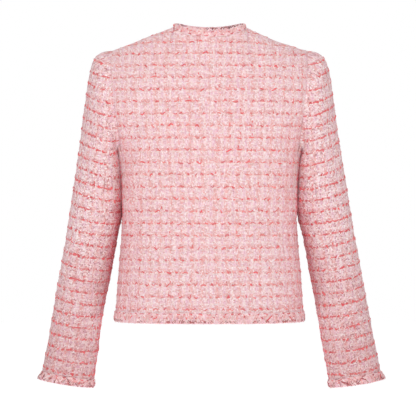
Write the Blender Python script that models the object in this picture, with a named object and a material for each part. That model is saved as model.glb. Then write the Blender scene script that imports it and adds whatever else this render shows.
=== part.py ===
"""Cropped tweed jacket, collarless, with two-piece set-in sleeves and frayed trims.

Metres, +Z up. The front faces -Y and the wearer's left side is +X.
The origin lies between the high shoulder points, where a wearer's shoulders hold the jacket.
The whole left half is worked out as one surface, which is then cut into panels along its seams.
The right half mirrors it, but its sleeve hangs a little further out.
Each panel is a wall of cloth, WALL thick, inside that surface.
"""

import math
from bisect import bisect_right
from collections import defaultdict, namedtuple

import bmesh
import bpy
from mathutils import Vector
from mathutils.bvhtree import BVHTree

# ---------------------------------------------------------------- driving dimensions

WALL = 0.0020               # thickness of the tweed
SEAM_GAP = 0.0003           # clearance between two panels at a seam
FRONT_GAP = 0.0012          # clearance between the two front edges

SECTION_POWER = 2.3         # 2 is an ellipse, more is boxier
ARMHOLE_CORNER_Z = -0.212   # where the side panel's seams meet the armhole
UNDERARM_Z = -0.227         # lowest point of the armhole
SHOULDER_X = 0.178          # half the distance between the sleeve seams
UNDERARM_ROWS = 8           # rows of points from the shoulder down to the armhole's corner

NECK_HALF_WIDTH = 0.062
NECK_SIDE_Z = 0.006         # top of the neckline, on the shoulder seam
ROUND_AT_NECK = 1.0         # how abruptly the back and chest turn over at the neckline
ROUND_AT_SHOULDER = 2.0     # and along the shoulder seam, where both sides meet level
ROUND_CHANGE_START = 0.030  # distance from the centre up to which the first holds
ROUND_CHANGE_END = 0.100    # and from which the second does

SLEEVE_COLUMNS = 20         # columns of points round a sleeve, from the shoulder seam to the back
HIND_ARM_COLUMN = 6         # column of the seam behind the arm
FORE_ARM_COLUMN = 13        # column of the seam in front of the arm
HEAD_STATIONS = 5           # stations over which the sleeve leaves the armhole's shape

TRIM_WALL = 0.0024          # thickness of the frayed trim
TRIM_FAR = 0.0175           # far side of the trim's strip, from the cloth's edge
TRIM_NEAR = 0.0120          # near side of the strip, where the locks start
EDGE_NORMAL_SHARE = 0.5     # how much the trim keeps to the direction that the cloth's edge faces
CREASE_ANGLE = 50.0         # degrees from which an edge is shaded sharp
NORMAL_PASSES = 2           # how often the directions along the cloth's edge are evened out
LOCK_REACH = 0.0015         # how far the shortest locks pass the cloth's edge
LOCK_SPREAD = 0.0018        # and how much further the longest ones go
LOCK_SLANT = 0.0012         # sideways lean of every lock
LOCK_SWAY = 0.0011          # and how much it changes from lock to lock
LOCK_TIP = 0.55             # width of a lock's tip as a share of its root
LOCK_TURN = 2.4             # radians between the lengths and leans of one lock and the next
HEM_PITCH = 0.0058          # width of a lock at its root, and of the space beside it
NECK_PITCH = 0.0055
CUFF_SPLITS = 3             # the same on a cuff, for each stretch between two columns
HEM_LIFT = 0.0006           # clearance between the trim and the cloth under it
CUFF_LIFT = 0.0006
NECK_LIFT = 0.0024          # more at the neck, where the cloth under it bends both ways
HEM_FLARE = 0.0015          # how far the tips of the locks stand out
CUFF_FLARE = 0.0035
NECK_FLARE = 0.0016

SWING_START_Z = -0.150      # below this level the right sleeve leans out
RIGHT_SLEEVE_SWING = 0.015  # by this much for each metre down

Section = namedtuple("Section", "z half_width back_depth front_depth")
SECTIONS = (
    Section(-0.530, 0.1715, 0.1120, 0.1170),
    Section(-0.490, 0.1690, 0.1090, 0.1140),
    Section(-0.440, 0.1652, 0.1040, 0.1090),
    Section(-0.380, 0.1602, 0.0995, 0.1050),
    Section(-0.330, 0.1590, 0.0985, 0.1060),
    Section(-0.290, 0.1600, 0.1000, 0.1110),
    Section(-0.240, 0.1630, 0.1040, 0.1170),
    Section(-0.205, 0.1700, 0.1065, 0.1180),
    Section(-0.160, 0.1880, 0.1080, 0.1150),
    Section(-0.105, 0.2060, 0.1070, 0.1070),
    Section(-0.060, 0.2140, 0.1040, 0.0990),
    Section(0.010, 0.2180, 0.1000, 0.0900),
)

# The side edges of the back and the front: the armhole, then the side panel's seams.
Edge = namedtuple("Edge", "z back_x front_x")
EDGES = (
    Edge(-0.530, 0.1430, 0.1460),
    Edge(-0.490, 0.1405, 0.1445),
    Edge(-0.430, 0.1365, 0.1410),
    Edge(-0.377, 0.1335, 0.1385),
    Edge(-0.335, 0.1345, 0.1390),
    Edge(-0.290, 0.1445, 0.1470),
    Edge(-0.250, 0.1545, 0.1545),
    Edge(-0.212, 0.1625, 0.1610),
    Edge(-0.180, 0.1660, 0.1630),
    Edge(-0.140, 0.1710, 0.1655),
    Edge(-0.105, 0.1755, 0.1695),
    Edge(-0.060, 0.1775, 0.1755),
    Edge(-0.0400, 0.1780, 0.1780),
)

Shoulder = namedtuple("Shoulder", "x z")
SHOULDER_LINE = (
    Shoulder(0.062, 0.0060),
    Shoulder(0.070, 0.0016),
    Shoulder(0.080, -0.0020),
    Shoulder(0.103, -0.0115),
    Shoulder(0.126, -0.0205),
    Shoulder(0.152, -0.0305),
    Shoulder(0.168, -0.0372),
    Shoulder(0.178, -0.0400),
)

Neckline = namedtuple("Neckline", "centre_y centre_z dip")
BACK_NECK = Neckline(0.048, -0.0035, 2.0)
FRONT_NECK = Neckline(-0.078, -0.0760, 1.8)
NECK_STRETCHES = 6          # stretches between the centre and the shoulder seam
SHOULDER_STRETCHES = 5      # stretches along the shoulder seam

# Levels of the rows below the armhole's corner, the hem last.
LEVELS = (-0.240, -0.270, -0.300, -0.335, -0.370, -0.405, -0.440, -0.475, -0.505, -0.530)

SIDE_SHARES = (1.0, 0.5, 0.0, -0.5, -1.0)   # columns of the side panel, back seam to front seam

# The sleeve's outline seen from behind, and its half depth and how far forward it hangs.
Station = namedtuple("Station", "outer_x outer_z inner_x inner_z half_depth forward")
STATIONS = (
    Station(0.1780, -0.0400, 0.1650, -0.2270, 0.0545, 0.000),
    Station(0.1912, -0.0418, 0.1672, -0.2285, 0.0590, 0.002),
    Station(0.2038, -0.0478, 0.1672, -0.2320, 0.0625, 0.004),
    Station(0.2122, -0.0588, 0.1660, -0.2375, 0.0645, 0.006),
    Station(0.2178, -0.0770, 0.1643, -0.2440, 0.0650, 0.008),
    Station(0.2225, -0.1030, 0.1628, -0.2530, 0.0650, 0.011),
    Station(0.2290, -0.1500, 0.1612, -0.2680, 0.0640, 0.014),
    Station(0.2360, -0.2030, 0.1602, -0.2890, 0.0620, 0.017),
    Station(0.2440, -0.2570, 0.1598, -0.3150, 0.0595, 0.019),
    Station(0.2520, -0.3110, 0.1620, -0.3470, 0.0565, 0.021),
    Station(0.2605, -0.3650, 0.1695, -0.3870, 0.0530, 0.023),
    Station(0.2700, -0.4200, 0.1780, -0.4380, 0.0495, 0.026),
    Station(0.2830, -0.4940, 0.1905, -0.5110, 0.0450, 0.029),
    Station(0.2957, -0.5665, 0.2017, -0.5825, 0.0410, 0.033),
    Station(0.3096, -0.6388, 0.2141, -0.6545, 0.0380, 0.037),
)
RING_STEPS = (0, 0.5, 1, 1.5, 2, 2.5, 3, 3.5, 4, 5, 5.5, 6, 6.5, 7, 7.5, 8, 8.5, 9, 10, 11, 12, 13, 14)

# ---------------------------------------------------------------- curves through the tables


def secants(xs, ys):
    """Slope of each straight stretch between the rows."""
    return [(ys[i + 1] - ys[i]) / (xs[i + 1] - xs[i]) for i in range(len(xs) - 1)]


def slopes(xs, ys):
    """Slope at each row, level where the curve turns, so that it never overshoots."""
    steps = secants(xs, ys)
    inner = [2 * a * b / (a + b) if a * b > 0 else 0.0 for a, b in zip(steps, steps[1:])]
    return [steps[0], *inner, steps[-1]]


def curve(xs, ys):
    """A smooth curve through the points (x, y), as a function of x."""
    slope = slopes(xs, ys)

    def value(x):
        x = min(max(x, xs[0]), xs[-1])
        i = min(bisect_right(xs, x) - 1, len(xs) - 2)
        width = xs[i + 1] - xs[i]
        t = (x - xs[i]) / width
        from_points = ys[i] * (1 + 2 * t) * (1 - t) ** 2 + ys[i + 1] * t * t * (3 - 2 * t)
        from_slopes = slope[i] * t * (1 - t) ** 2 - slope[i + 1] * t * t * (1 - t)
        return from_points + from_slopes * width

    return value


def column_curve(table, key, column):
    """The named column of a table as a smooth function of its key column."""
    return curve([getattr(row, key) for row in table], [getattr(row, column) for row in table])


half_width = column_curve(SECTIONS, "z", "half_width")
back_depth = column_curve(SECTIONS, "z", "back_depth")
front_depth = column_curve(SECTIONS, "z", "front_depth")
back_edge = column_curve(EDGES, "z", "back_x")
front_edge = column_curve(EDGES, "z", "front_x")
shoulder_z = column_curve(SHOULDER_LINE, "x", "z")
STATION_NUMBERS = list(range(len(STATIONS)))
station_curves = {
    field: curve(STATION_NUMBERS, [getattr(row, field) for row in STATIONS])
    for field in Station._fields
}

Face = namedtuple("Face", "sign depth edge neck")
BACK = Face(1, back_depth, back_edge, BACK_NECK)
FRONT = Face(-1, front_depth, front_edge, FRONT_NECK)

# ---------------------------------------------------------------- the body's surface


def rounded(share):
    """Height of the rounded section where its width is at this share."""
    return max(1 - abs(share) ** SECTION_POWER, 0.0) ** (1 / SECTION_POWER)


def top_of_column(face, x):
    """Where a column ends above: on the neckline, or on the shoulder seam."""
    if x >= NECK_HALF_WIDTH:
        return 0.0, shoulder_z(x)
    inward = math.sqrt(1 - (x / NECK_HALF_WIDTH) ** 2)
    drop = (face.neck.centre_z - NECK_SIDE_Z) * inward ** face.neck.dip
    return face.neck.centre_y * inward, NECK_SIDE_Z + drop


def turn_over(x):
    """Exponent of the curve by which the cloth turns over at a column's top."""
    share = (x - ROUND_CHANGE_START) / (ROUND_CHANGE_END - ROUND_CHANGE_START)
    share = min(max(share, 0.0), 1.0)
    blend = share * share * (3 - 2 * share)
    return 2 / (ROUND_AT_NECK + (ROUND_AT_SHOULDER - ROUND_AT_NECK) * blend)


def body_y(face, x, z):
    """Depth of the torso's section at this width and level."""
    return face.sign * face.depth(z) * rounded(x / half_width(z))


def column_tops():
    """Distances from the centre at which the columns start on the neckline and the shoulder."""
    turns = [0.5 * math.pi * i / NECK_STRETCHES for i in range(NECK_STRETCHES)]
    stretch = (SHOULDER_X - NECK_HALF_WIDTH) / SHOULDER_STRETCHES
    along = [NECK_HALF_WIDTH + stretch * i for i in range(SHOULDER_STRETCHES + 1)]
    return [NECK_HALF_WIDTH * math.sin(turn) for turn in turns] + along


def body_column(face, number, top_x):
    """Points of one column of the back or the front, from its top down to the hem."""
    top_y, top_z = top_of_column(face, top_x)
    even = number / (NECK_STRETCHES + SHOULDER_STRETCHES)
    points = []
    for row in range(UNDERARM_ROWS + 1):
        turn = 0.5 * math.pi * row / UNDERARM_ROWS
        z = top_z - (top_z - ARMHOLE_CORNER_Z) * (1 - math.cos(turn))
        share = top_x / SHOULDER_X + (even - top_x / SHOULDER_X) * math.sin(turn) ** 2
        x = share * face.edge(z)
        y = top_y + (body_y(face, x, z) - top_y) * math.sin(turn) ** turn_over(top_x)
        points.append(Vector((x, y, z)))
    for z in LEVELS:
        x = even * face.edge(z)
        points.append(Vector((x, body_y(face, x, z), z)))
    return points


def side_column(share):
    """Points of one column of the side panel, from the armhole down to the hem."""
    face = BACK if share >= 0 else FRONT
    top_z = UNDERARM_Z + (ARMHOLE_CORNER_Z - UNDERARM_Z) * share * share
    points = []
    for z in (top_z, *LEVELS):
        seam_y = body_y(face, face.edge(z), z)
        y = seam_y * abs(share)
        x = half_width(z) * rounded(y / face.depth(z))
        points.append(Vector((x, y, z)))
    return points


# ---------------------------------------------------------------- the sleeve's surface


def oval_point(station, column):
    """A point of the sleeve's oval section at a station of the table."""
    row = {field: value(station) for field, value in station_curves.items()}
    outer = Vector((row["outer_x"], 0.0, row["outer_z"]))
    inner = Vector((row["inner_x"], 0.0, row["inner_z"]))
    angle = 2 * math.pi * column / SLEEVE_COLUMNS
    across = (outer - inner) * 0.5 * math.cos(angle)
    depth = Vector((0.0, row["half_depth"] * math.sin(angle) - row["forward"], 0.0))
    return (outer + inner) * 0.5 + across + depth


def head_share(station):
    """How much of the armhole's own shape the sleeve still has at this station."""
    left = max(1 - station / HEAD_STATIONS, 0.0)
    return left * left


def sleeve_column(column, seam_point):
    """Points of one column of the sleeve, from the armhole down to the cuff."""
    difference = seam_point - oval_point(0, column)
    return [oval_point(step, column) + difference * head_share(step) for step in RING_STEPS]


# ---------------------------------------------------------------- normals and the gaps at seams


def key_of(point):
    """The same for two points in one place."""
    return tuple(round(value, 6) for value in point)


def surface_normals(grids):
    """Outward unit normal at each point of some grids that share their seams."""
    sums = defaultdict(lambda: Vector((0.0, 0.0, 0.0)))
    for grid, outward in grids:
        for left, right in zip(grid, grid[1:]):
            for row in range(len(left) - 1):
                corners = (left[row], right[row], right[row + 1], left[row + 1])
                normal = (corners[2] - corners[0]).cross(corners[1] - corners[3]) * -outward
                for corner in corners:
                    sums[key_of(corner)] += normal
    for key, normal in sums.items():
        if abs(key[0]) < SEAM_GAP:
            normal.x = 0.0
    return {key: normal.normalized() for key, normal in sums.items()}


def normals_of(grid, lookup):
    """The normals of a grid's points, column by column."""
    return [[lookup[key_of(point)].copy() for point in column] for column in grid]


def toward(point, neighbour, distance):
    """The point, moved this far toward its neighbour."""
    return point + (neighbour - point).normalized() * distance


def with_gaps(grid, first, last, top):
    """A copy of a grid with its first and last columns and its top row moved in."""
    moved = [[point.copy() for point in column] for column in grid]
    for row in range(len(grid[0])):
        moved[0][row] = toward(grid[0][row], grid[1][row], first)
        moved[-1][row] = toward(grid[-1][row], grid[-2][row], last)
    for column, original in zip(moved, grid):
        column[0] += (original[1] - original[0]).normalized() * top
    return moved


# ---------------------------------------------------------------- making meshes


def mirrored(points):
    """A grid of points on the wearer's other side."""
    return [[Vector((-point.x, point.y, point.z)) for point in column] for column in points]


def swung(points):
    """A sleeve's points, hanging a little further out below the shoulder."""
    return [[point + Vector((max(SWING_START_Z - point.z, 0.0) * RIGHT_SLEEVE_SWING, 0.0, 0.0))
             for point in column] for column in points]


def make_object(name, vertices, faces, material, parent):
    """An object from vertices and faces, with every face turned outward."""
    mesh = bpy.data.meshes.new(name)
    mesh.from_pydata([tuple(vertex) for vertex in vertices], [], faces)
    shape = bmesh.new()
    shape.from_mesh(mesh)
    bmesh.ops.recalc_face_normals(shape, faces=shape.faces)
    shape.to_mesh(mesh)
    shape.free()
    mesh.shade_smooth()
    mesh.set_sharp_from_angle(angle=math.radians(CREASE_ANGLE))
    mesh.materials.append(material)
    piece = bpy.data.objects.new(name, mesh)
    bpy.context.scene.collection.objects.link(piece)
    piece.parent = parent
    return piece


def make_panel(name, outer, normals, material, parent):
    """A wall of cloth: the outer grid, the same grid moved in by WALL, and its four edges."""
    columns = len(outer)
    rows = len(outer[0])
    vertices = [point for column in outer for point in column]
    for points, directions in zip(outer, normals):
        vertices += [point - normal * WALL for point, normal in zip(points, directions)]

    def at(column, row, layer):
        return layer * columns * rows + column * rows + row

    faces = []
    for column in range(columns - 1):
        for row in range(rows - 1):
            for layer in (0, 1):
                faces.append([at(column, row, layer), at(column + 1, row, layer),
                              at(column + 1, row + 1, layer), at(column, row + 1, layer)])
        for row in (0, rows - 1):
            faces.append([at(column, row, 0), at(column + 1, row, 0),
                          at(column + 1, row, 1), at(column, row, 1)])
    for row in range(rows - 1):
        for column in (0, columns - 1):
            faces.append([at(column, row, 0), at(column, row + 1, 0),
                          at(column, row + 1, 1), at(column, row, 1)])
    return make_object(name, vertices, faces, material, parent)


# ---------------------------------------------------------------- frayed trims


Stop = namedtuple("Stop", "point normal down")


def edge_stops(edge, normals, splits, closed):
    """Places along a cloth's edge, each with its normal and the way onto the cloth."""
    count = len(edge)
    behind = [i - 1 if closed or i > 0 else i for i in range(count)]
    ahead = [(i + 1) % count if closed or i + 1 < count else i for i in range(count)]
    for _ in range(NORMAL_PASSES):
        normals = [(normals[behind[i]] + normals[i] * 2 + normals[ahead[i]]).normalized()
                   for i in range(count)]
    corners = []
    for i in range(count):
        tangent = (edge[ahead[i]] - edge[behind[i]]).normalized()
        corners.append(Stop(edge[i], normals[i], tangent.cross(normals[i]).normalized()))
    stops = []
    for i in range(count if closed else count - 1):
        start, end = corners[i], corners[(i + 1) % count]
        stops += [between(start, end, step / splits[i]) for step in range(splits[i])]
    return stops if closed else [*stops, corners[-1]]


def between(start, end, share=0.5):
    """A place along the stretch of edge between two stops."""
    return Stop(
        start.point.lerp(end.point, share),
        start.normal.lerp(end.normal, share).normalized(),
        start.down.lerp(end.down, share).normalized(),
    )


def over_cloth(stop, distance, lift, cloth):
    """The trim's inner and outer points over the cloth, at this distance from the cloth's edge."""
    place, normal = cloth.find_nearest(stop.point + stop.down * distance)[:2]
    outward = normal if normal.dot(stop.normal) > 0 else -normal
    outward = (outward + stop.normal * EDGE_NORMAL_SHARE).normalized()
    inner = place + outward * lift
    return inner, inner + outward * TRIM_WALL


def make_trim(name, stops, closed, cloth, lift, flare, material, parent):
    """A strip that lies on the cloth, with frayed locks that hang from it past the edge."""
    vertices = []
    for stop in stops:
        far_inner, far_outer = over_cloth(stop, TRIM_FAR, lift, cloth)
        near_inner, near_outer = over_cloth(stop, TRIM_NEAR, lift, cloth)
        vertices += [far_inner, far_outer, near_outer, near_inner]
    faces = []
    count = len(stops)
    for i in range(count if closed else count - 1):
        here, there = 4 * i, 4 * ((i + 1) % count)
        for side in range(4):
            if side == 2 and i % 2:
                continue
            after = (side + 1) % 4
            faces.append([here + side, there + side, there + after, here + after])
        if i % 2:
            roots = (here + 2, there + 2, there + 3, here + 3)
            faces += lock_faces(vertices, roots, between(stops[i], stops[(i + 1) % count]), i, lift, flare)
    if not closed:
        faces.append([0, 1, 2, 3])
        faces.append([4 * (count - 1) + side for side in (3, 2, 1, 0)])
    return make_object(name, vertices, faces, material, parent)


def lock_faces(vertices, roots, stop, number, lift, flare):
    """Add one lock's tip to the vertices, and return the faces from its root to its tip."""
    wave = math.sin(number * LOCK_TURN)
    reach = LOCK_REACH + LOCK_SPREAD * (0.5 + 0.5 * wave)
    along = stop.down.cross(stop.normal)
    lean = along * (LOCK_SLANT + LOCK_SWAY * math.cos(number * LOCK_TURN * 2))
    height = stop.normal * (lift + TRIM_WALL / 2 + flare)
    end = stop.point + height + lean - stop.down * reach
    middle = sum((vertices[root] for root in roots), Vector((0.0, 0.0, 0.0))) / 4
    tips = []
    for root in roots:
        tips.append(len(vertices))
        vertices.append(end + (vertices[root] - middle) * LOCK_TIP)
    sides = [[roots[i], roots[(i + 1) % 4], tips[(i + 1) % 4], tips[i]] for i in range(4)]
    return [*sides, tips]


# ---------------------------------------------------------------- materials


def make_material(name, colour, roughness):
    """A plain cloth material."""
    material = bpy.data.materials.new(name)
    material.use_nodes = True
    shader = material.node_tree.nodes["Principled BSDF"]
    shader.inputs["Base Color"].default_value = (*colour, 1.0)
    shader.inputs["Roughness"].default_value = roughness
    shader.inputs["Metallic"].default_value = 0.0
    return material


BODY_PINK = (0.83, 0.50, 0.51)
SLEEVE_PINK = (0.80, 0.47, 0.49)
TRIM_PINK = (0.85, 0.48, 0.48)
CLOTH_ROUGHNESS = 0.92

# ---------------------------------------------------------------- the whole jacket


def length_splits(edge, pitch):
    """How many short stretches each stretch of an edge is cut into."""
    return [max(round((b - a).length / pitch), 1) for a, b in zip(edge, edge[1:])]


def joined(*runs):
    """Several runs of (point, normal) as one, without the points where they meet."""
    whole = list(runs[0])
    for run in runs[1:]:
        whole += run[1:]
    return whole


def flipped(run):
    """A run of (point, normal) on the wearer's other side, walked the other way."""
    turned = [(Vector((-p.x, p.y, p.z)), Vector((-n.x, n.y, n.z))) for p, n in run]
    return turned[::-1]


def with_end_gaps(run, gap):
    """A run whose two ends, at the front edges, are moved in."""
    moved = [(point.copy(), normal) for point, normal in run]
    moved[0] = (toward(run[0][0], run[1][0], gap), run[0][1])
    moved[-1] = (toward(run[-1][0], run[-2][0], gap), run[-1][1])
    return moved


def surface_tree(grids):
    """The surfaces of both halves, to find the nearest place on the cloth."""
    vertices = []
    faces = []
    for grid in [*grids, *[mirrored(grid) for grid in grids]]:
        rows = len(grid[0])
        start = len(vertices)
        vertices += [point for column in grid for point in column]
        for column in range(len(grid) - 1):
            for row in range(rows - 1):
                corner = start + column * rows + row
                faces.append([corner, corner + rows, corner + rows + 1, corner + 1])
    return BVHTree.FromPolygons(vertices, faces)


def main():
    for old in list(bpy.data.objects):
        bpy.data.objects.remove(old)

    jacket = bpy.data.objects.new("jacket", None)
    bpy.context.scene.collection.objects.link(jacket)

    # The left half of the body.
    tops = column_tops()
    back = [body_column(BACK, number, x) for number, x in enumerate(tops)]
    front = [body_column(FRONT, number, x) for number, x in enumerate(tops)]
    side = [side_column(share) for share in SIDE_SHARES]
    body_normals = surface_normals([(back, 1), (side, 1), (front, -1)])

    # The armhole, from the shoulder point down the back, under the arm and up the front.
    seam = back[-1][:UNDERARM_ROWS + 1]
    inside = back[-2][:UNDERARM_ROWS + 1]
    seam += [column[0] for column in side[1:-1]]
    inside += [column[1] for column in side[1:-1]]
    seam += front[-1][UNDERARM_ROWS:0:-1]
    inside += front[-2][UNDERARM_ROWS:0:-1]
    sleeve = [sleeve_column(column, point) for column, point in enumerate(seam)]
    ring = [*sleeve, sleeve[0]]
    ring_lookup = surface_normals([(ring, -1)])
    ring_normals = normals_of(ring, ring_lookup)
    seam_normals = [body_normals[key_of(point)] for point in seam]
    for column, (point, neighbour) in enumerate(zip(seam, inside)):
        sleeve[column][0] = toward(point, neighbour, -SEAM_GAP)
    for column, normals in enumerate(ring_normals):
        normals[0] = seam_normals[column % SLEEVE_COLUMNS].copy()

    half_gap = SEAM_GAP / 2
    upper_columns = [*range(FORE_ARM_COLUMN, SLEEVE_COLUMNS), *range(HIND_ARM_COLUMN + 1)]
    under_columns = list(range(HIND_ARM_COLUMN, FORE_ARM_COLUMN + 1))
    upper = [sleeve[column] for column in upper_columns]
    under = [sleeve[column] for column in under_columns]
    panels = (
        ("back", with_gaps(back, half_gap, half_gap, half_gap), normals_of(back, body_normals)),
        ("front", with_gaps(front, FRONT_GAP / 2, half_gap, half_gap),
         normals_of(front, body_normals)),
        ("side_panel", with_gaps(side, half_gap, half_gap, half_gap),
         normals_of(side, body_normals)),
        ("upper_sleeve", with_gaps(upper, half_gap, half_gap, 0.0),
         [ring_normals[column] for column in upper_columns]),
        ("under_sleeve", with_gaps(under, half_gap, half_gap, 0.0),
         [ring_normals[column] for column in under_columns]),
    )
    for name, grid, normals in panels:
        colour = SLEEVE_PINK if "sleeve" in name else BODY_PINK
        right_grid = swung(grid) if "sleeve" in name else grid
        for side_name, points, directions in (
                ("left", grid, normals),
                ("right", mirrored(right_grid), mirrored(normals))):
            tweed = make_material(f"{name}_{side_name}_tweed", colour, CLOTH_ROUGHNESS)
            make_panel(f"{name}_{side_name}", points, directions, tweed, jacket)

    # The trims: their edges are walked so that the cloth lies on the same hand.
    body_cloth = surface_tree([back, side, front])

    def run_along(points):
        return [(point, body_normals[key_of(point)]) for point in points]

    hem_left = run_along([column[-1] for column in front[:-1]]
                         + [column[-1] for column in side[::-1]]
                         + [column[-1] for column in back[-2::-1]])
    hem = with_end_gaps(joined(hem_left, flipped(hem_left)), FRONT_GAP / 2)[::-1]
    neck_left = run_along([column[0] for column in front[:NECK_STRETCHES + 1]]
                          + [column[0] for column in back[NECK_STRETCHES - 1::-1]])
    neck = with_end_gaps(joined(neck_left, flipped(neck_left)), FRONT_GAP / 2)
    for name, run, pitch, lift, flare in (
            ("hem_trim", hem, HEM_PITCH, HEM_LIFT, HEM_FLARE),
            ("neck_trim", neck, NECK_PITCH, NECK_LIFT, NECK_FLARE)):
        edge = [point for point, normal in run]
        normals = [normal for point, normal in run]
        stops = edge_stops(edge, normals, length_splits(edge, pitch), False)
        fray = make_material(name + "_fray", TRIM_PINK, CLOTH_ROUGHNESS)
        make_trim(name, stops, False, body_cloth, lift, flare, fray, jacket)

    cuff_normals = [normals[-1] for normals in ring_normals[:SLEEVE_COLUMNS]]
    for name, tube in (("cuff_trim_left", sleeve), ("cuff_trim_right", swung(sleeve))):
        run = list(zip([column[-1] for column in tube], cuff_normals))[::-1]
        if name.endswith("right"):
            run = flipped(run)
        edge = [point for point, normal in run]
        normals = [normal for point, normal in run]
        stops = edge_stops(edge, normals, [CUFF_SPLITS] * SLEEVE_COLUMNS, True)
        tube_cloth = surface_tree([[*tube, tube[0]]])
        fray = make_material(name + "_fray", TRIM_PINK, CLOTH_ROUGHNESS)
        make_trim(name, stops, True, tube_cloth, CUFF_LIFT, CUFF_FLARE, fray, jacket)


main()
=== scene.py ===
# %% [markdown]
# A cropped tweed jacket, looked at from behind.
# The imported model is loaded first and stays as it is. Every piece of cloth made below lies on the form
# of one of its solids, is shown in that solid's place and moves with it.
# The box of the solids is kept, so that the last step can show that the jacket hasn't grown.

import functools
import math
from collections import namedtuple

import bpy
import numpy as np
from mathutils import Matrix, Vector


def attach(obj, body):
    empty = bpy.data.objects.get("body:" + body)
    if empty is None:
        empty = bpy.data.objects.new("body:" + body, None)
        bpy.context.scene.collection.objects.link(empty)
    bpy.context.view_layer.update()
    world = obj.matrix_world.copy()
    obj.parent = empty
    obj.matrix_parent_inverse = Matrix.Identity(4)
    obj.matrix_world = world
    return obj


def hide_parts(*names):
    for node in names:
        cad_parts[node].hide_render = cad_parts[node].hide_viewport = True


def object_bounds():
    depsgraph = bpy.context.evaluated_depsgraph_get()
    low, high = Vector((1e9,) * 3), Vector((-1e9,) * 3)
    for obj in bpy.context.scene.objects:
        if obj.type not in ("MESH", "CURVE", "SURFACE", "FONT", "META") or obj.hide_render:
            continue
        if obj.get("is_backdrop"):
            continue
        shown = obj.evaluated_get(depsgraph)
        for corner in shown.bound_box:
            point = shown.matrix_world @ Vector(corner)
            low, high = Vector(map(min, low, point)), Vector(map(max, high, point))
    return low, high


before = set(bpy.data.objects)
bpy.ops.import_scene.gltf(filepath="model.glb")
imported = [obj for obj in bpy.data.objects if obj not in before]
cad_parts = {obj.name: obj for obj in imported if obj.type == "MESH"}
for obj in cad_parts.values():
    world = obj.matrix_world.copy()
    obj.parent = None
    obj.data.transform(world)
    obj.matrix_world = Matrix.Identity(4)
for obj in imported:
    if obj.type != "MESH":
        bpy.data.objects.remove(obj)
solid_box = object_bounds()
print("solids:", sorted(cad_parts))

# %% [markdown]
# The sizes of the jacket, in metres. The tables give the torso's sections from the hem to the shoulders,
# the side edges of the back and front, the shoulder line, and the stations down the sleeve.
# They could be read off the loaded solids, but those have few points. The same tables, followed by
# smooth curves, give a surface that can be cut as finely as the cloth needs.

# %% Sizes and tables
WALL = 0.0020
SECTION_POWER = 2.3
ARMHOLE_CORNER_Z = -0.212
UNDERARM_Z = -0.227
SHOULDER_X = 0.178
HEM_Z = -0.530

NECK_HALF_WIDTH = 0.062
NECK_SIDE_Z = 0.006
ROUND_AT_NECK = 1.0
ROUND_AT_SHOULDER = 2.0
ROUND_CHANGE_START = 0.030
ROUND_CHANGE_END = 0.100
NECK_STRETCHES = 6
SHOULDER_STRETCHES = 5
BODY_COLUMNS = NECK_STRETCHES + SHOULDER_STRETCHES

SLEEVE_COLUMNS = 20
ARMHOLE_ROWS = 8
HIND_ARM_COLUMN = 6
FORE_ARM_COLUMN = 13
HEAD_STATIONS = 5
SWING_START_Z = -0.150
RIGHT_SLEEVE_SWING = 0.015

Section = namedtuple("Section", "z half_width back_depth front_depth")
SECTIONS = (
    Section(-0.530, 0.1715, 0.1120, 0.1170),
    Section(-0.490, 0.1690, 0.1090, 0.1140),
    Section(-0.440, 0.1652, 0.1040, 0.1090),
    Section(-0.380, 0.1602, 0.0995, 0.1050),
    Section(-0.330, 0.1590, 0.0985, 0.1060),
    Section(-0.290, 0.1600, 0.1000, 0.1110),
    Section(-0.240, 0.1630, 0.1040, 0.1170),
    Section(-0.205, 0.1700, 0.1065, 0.1180),
    Section(-0.160, 0.1880, 0.1080, 0.1150),
    Section(-0.105, 0.2060, 0.1070, 0.1070),
    Section(-0.060, 0.2140, 0.1040, 0.0990),
    Section(0.010, 0.2180, 0.1000, 0.0900),
)

Edge = namedtuple("Edge", "z back_x front_x")
EDGES = (
    Edge(-0.530, 0.1430, 0.1460),
    Edge(-0.490, 0.1405, 0.1445),
    Edge(-0.430, 0.1365, 0.1410),
    Edge(-0.377, 0.1335, 0.1385),
    Edge(-0.335, 0.1345, 0.1390),
    Edge(-0.290, 0.1445, 0.1470),
    Edge(-0.250, 0.1545, 0.1545),
    Edge(-0.212, 0.1625, 0.1610),
    Edge(-0.180, 0.1660, 0.1630),
    Edge(-0.140, 0.1710, 0.1655),
    Edge(-0.105, 0.1755, 0.1695),
    Edge(-0.060, 0.1775, 0.1755),
    Edge(-0.0400, 0.1780, 0.1780),
)

Shoulder = namedtuple("Shoulder", "x z")
SHOULDER_LINE = (
    Shoulder(0.062, 0.0060),
    Shoulder(0.070, 0.0016),
    Shoulder(0.080, -0.0020),
    Shoulder(0.103, -0.0115),
    Shoulder(0.126, -0.0205),
    Shoulder(0.152, -0.0305),
    Shoulder(0.168, -0.0372),
    Shoulder(0.178, -0.0400),
)

Neckline = namedtuple("Neckline", "centre_y centre_z dip")
BACK_NECK = Neckline(0.048, -0.0035, 2.0)
FRONT_NECK = Neckline(-0.078, -0.0760, 1.8)

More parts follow.
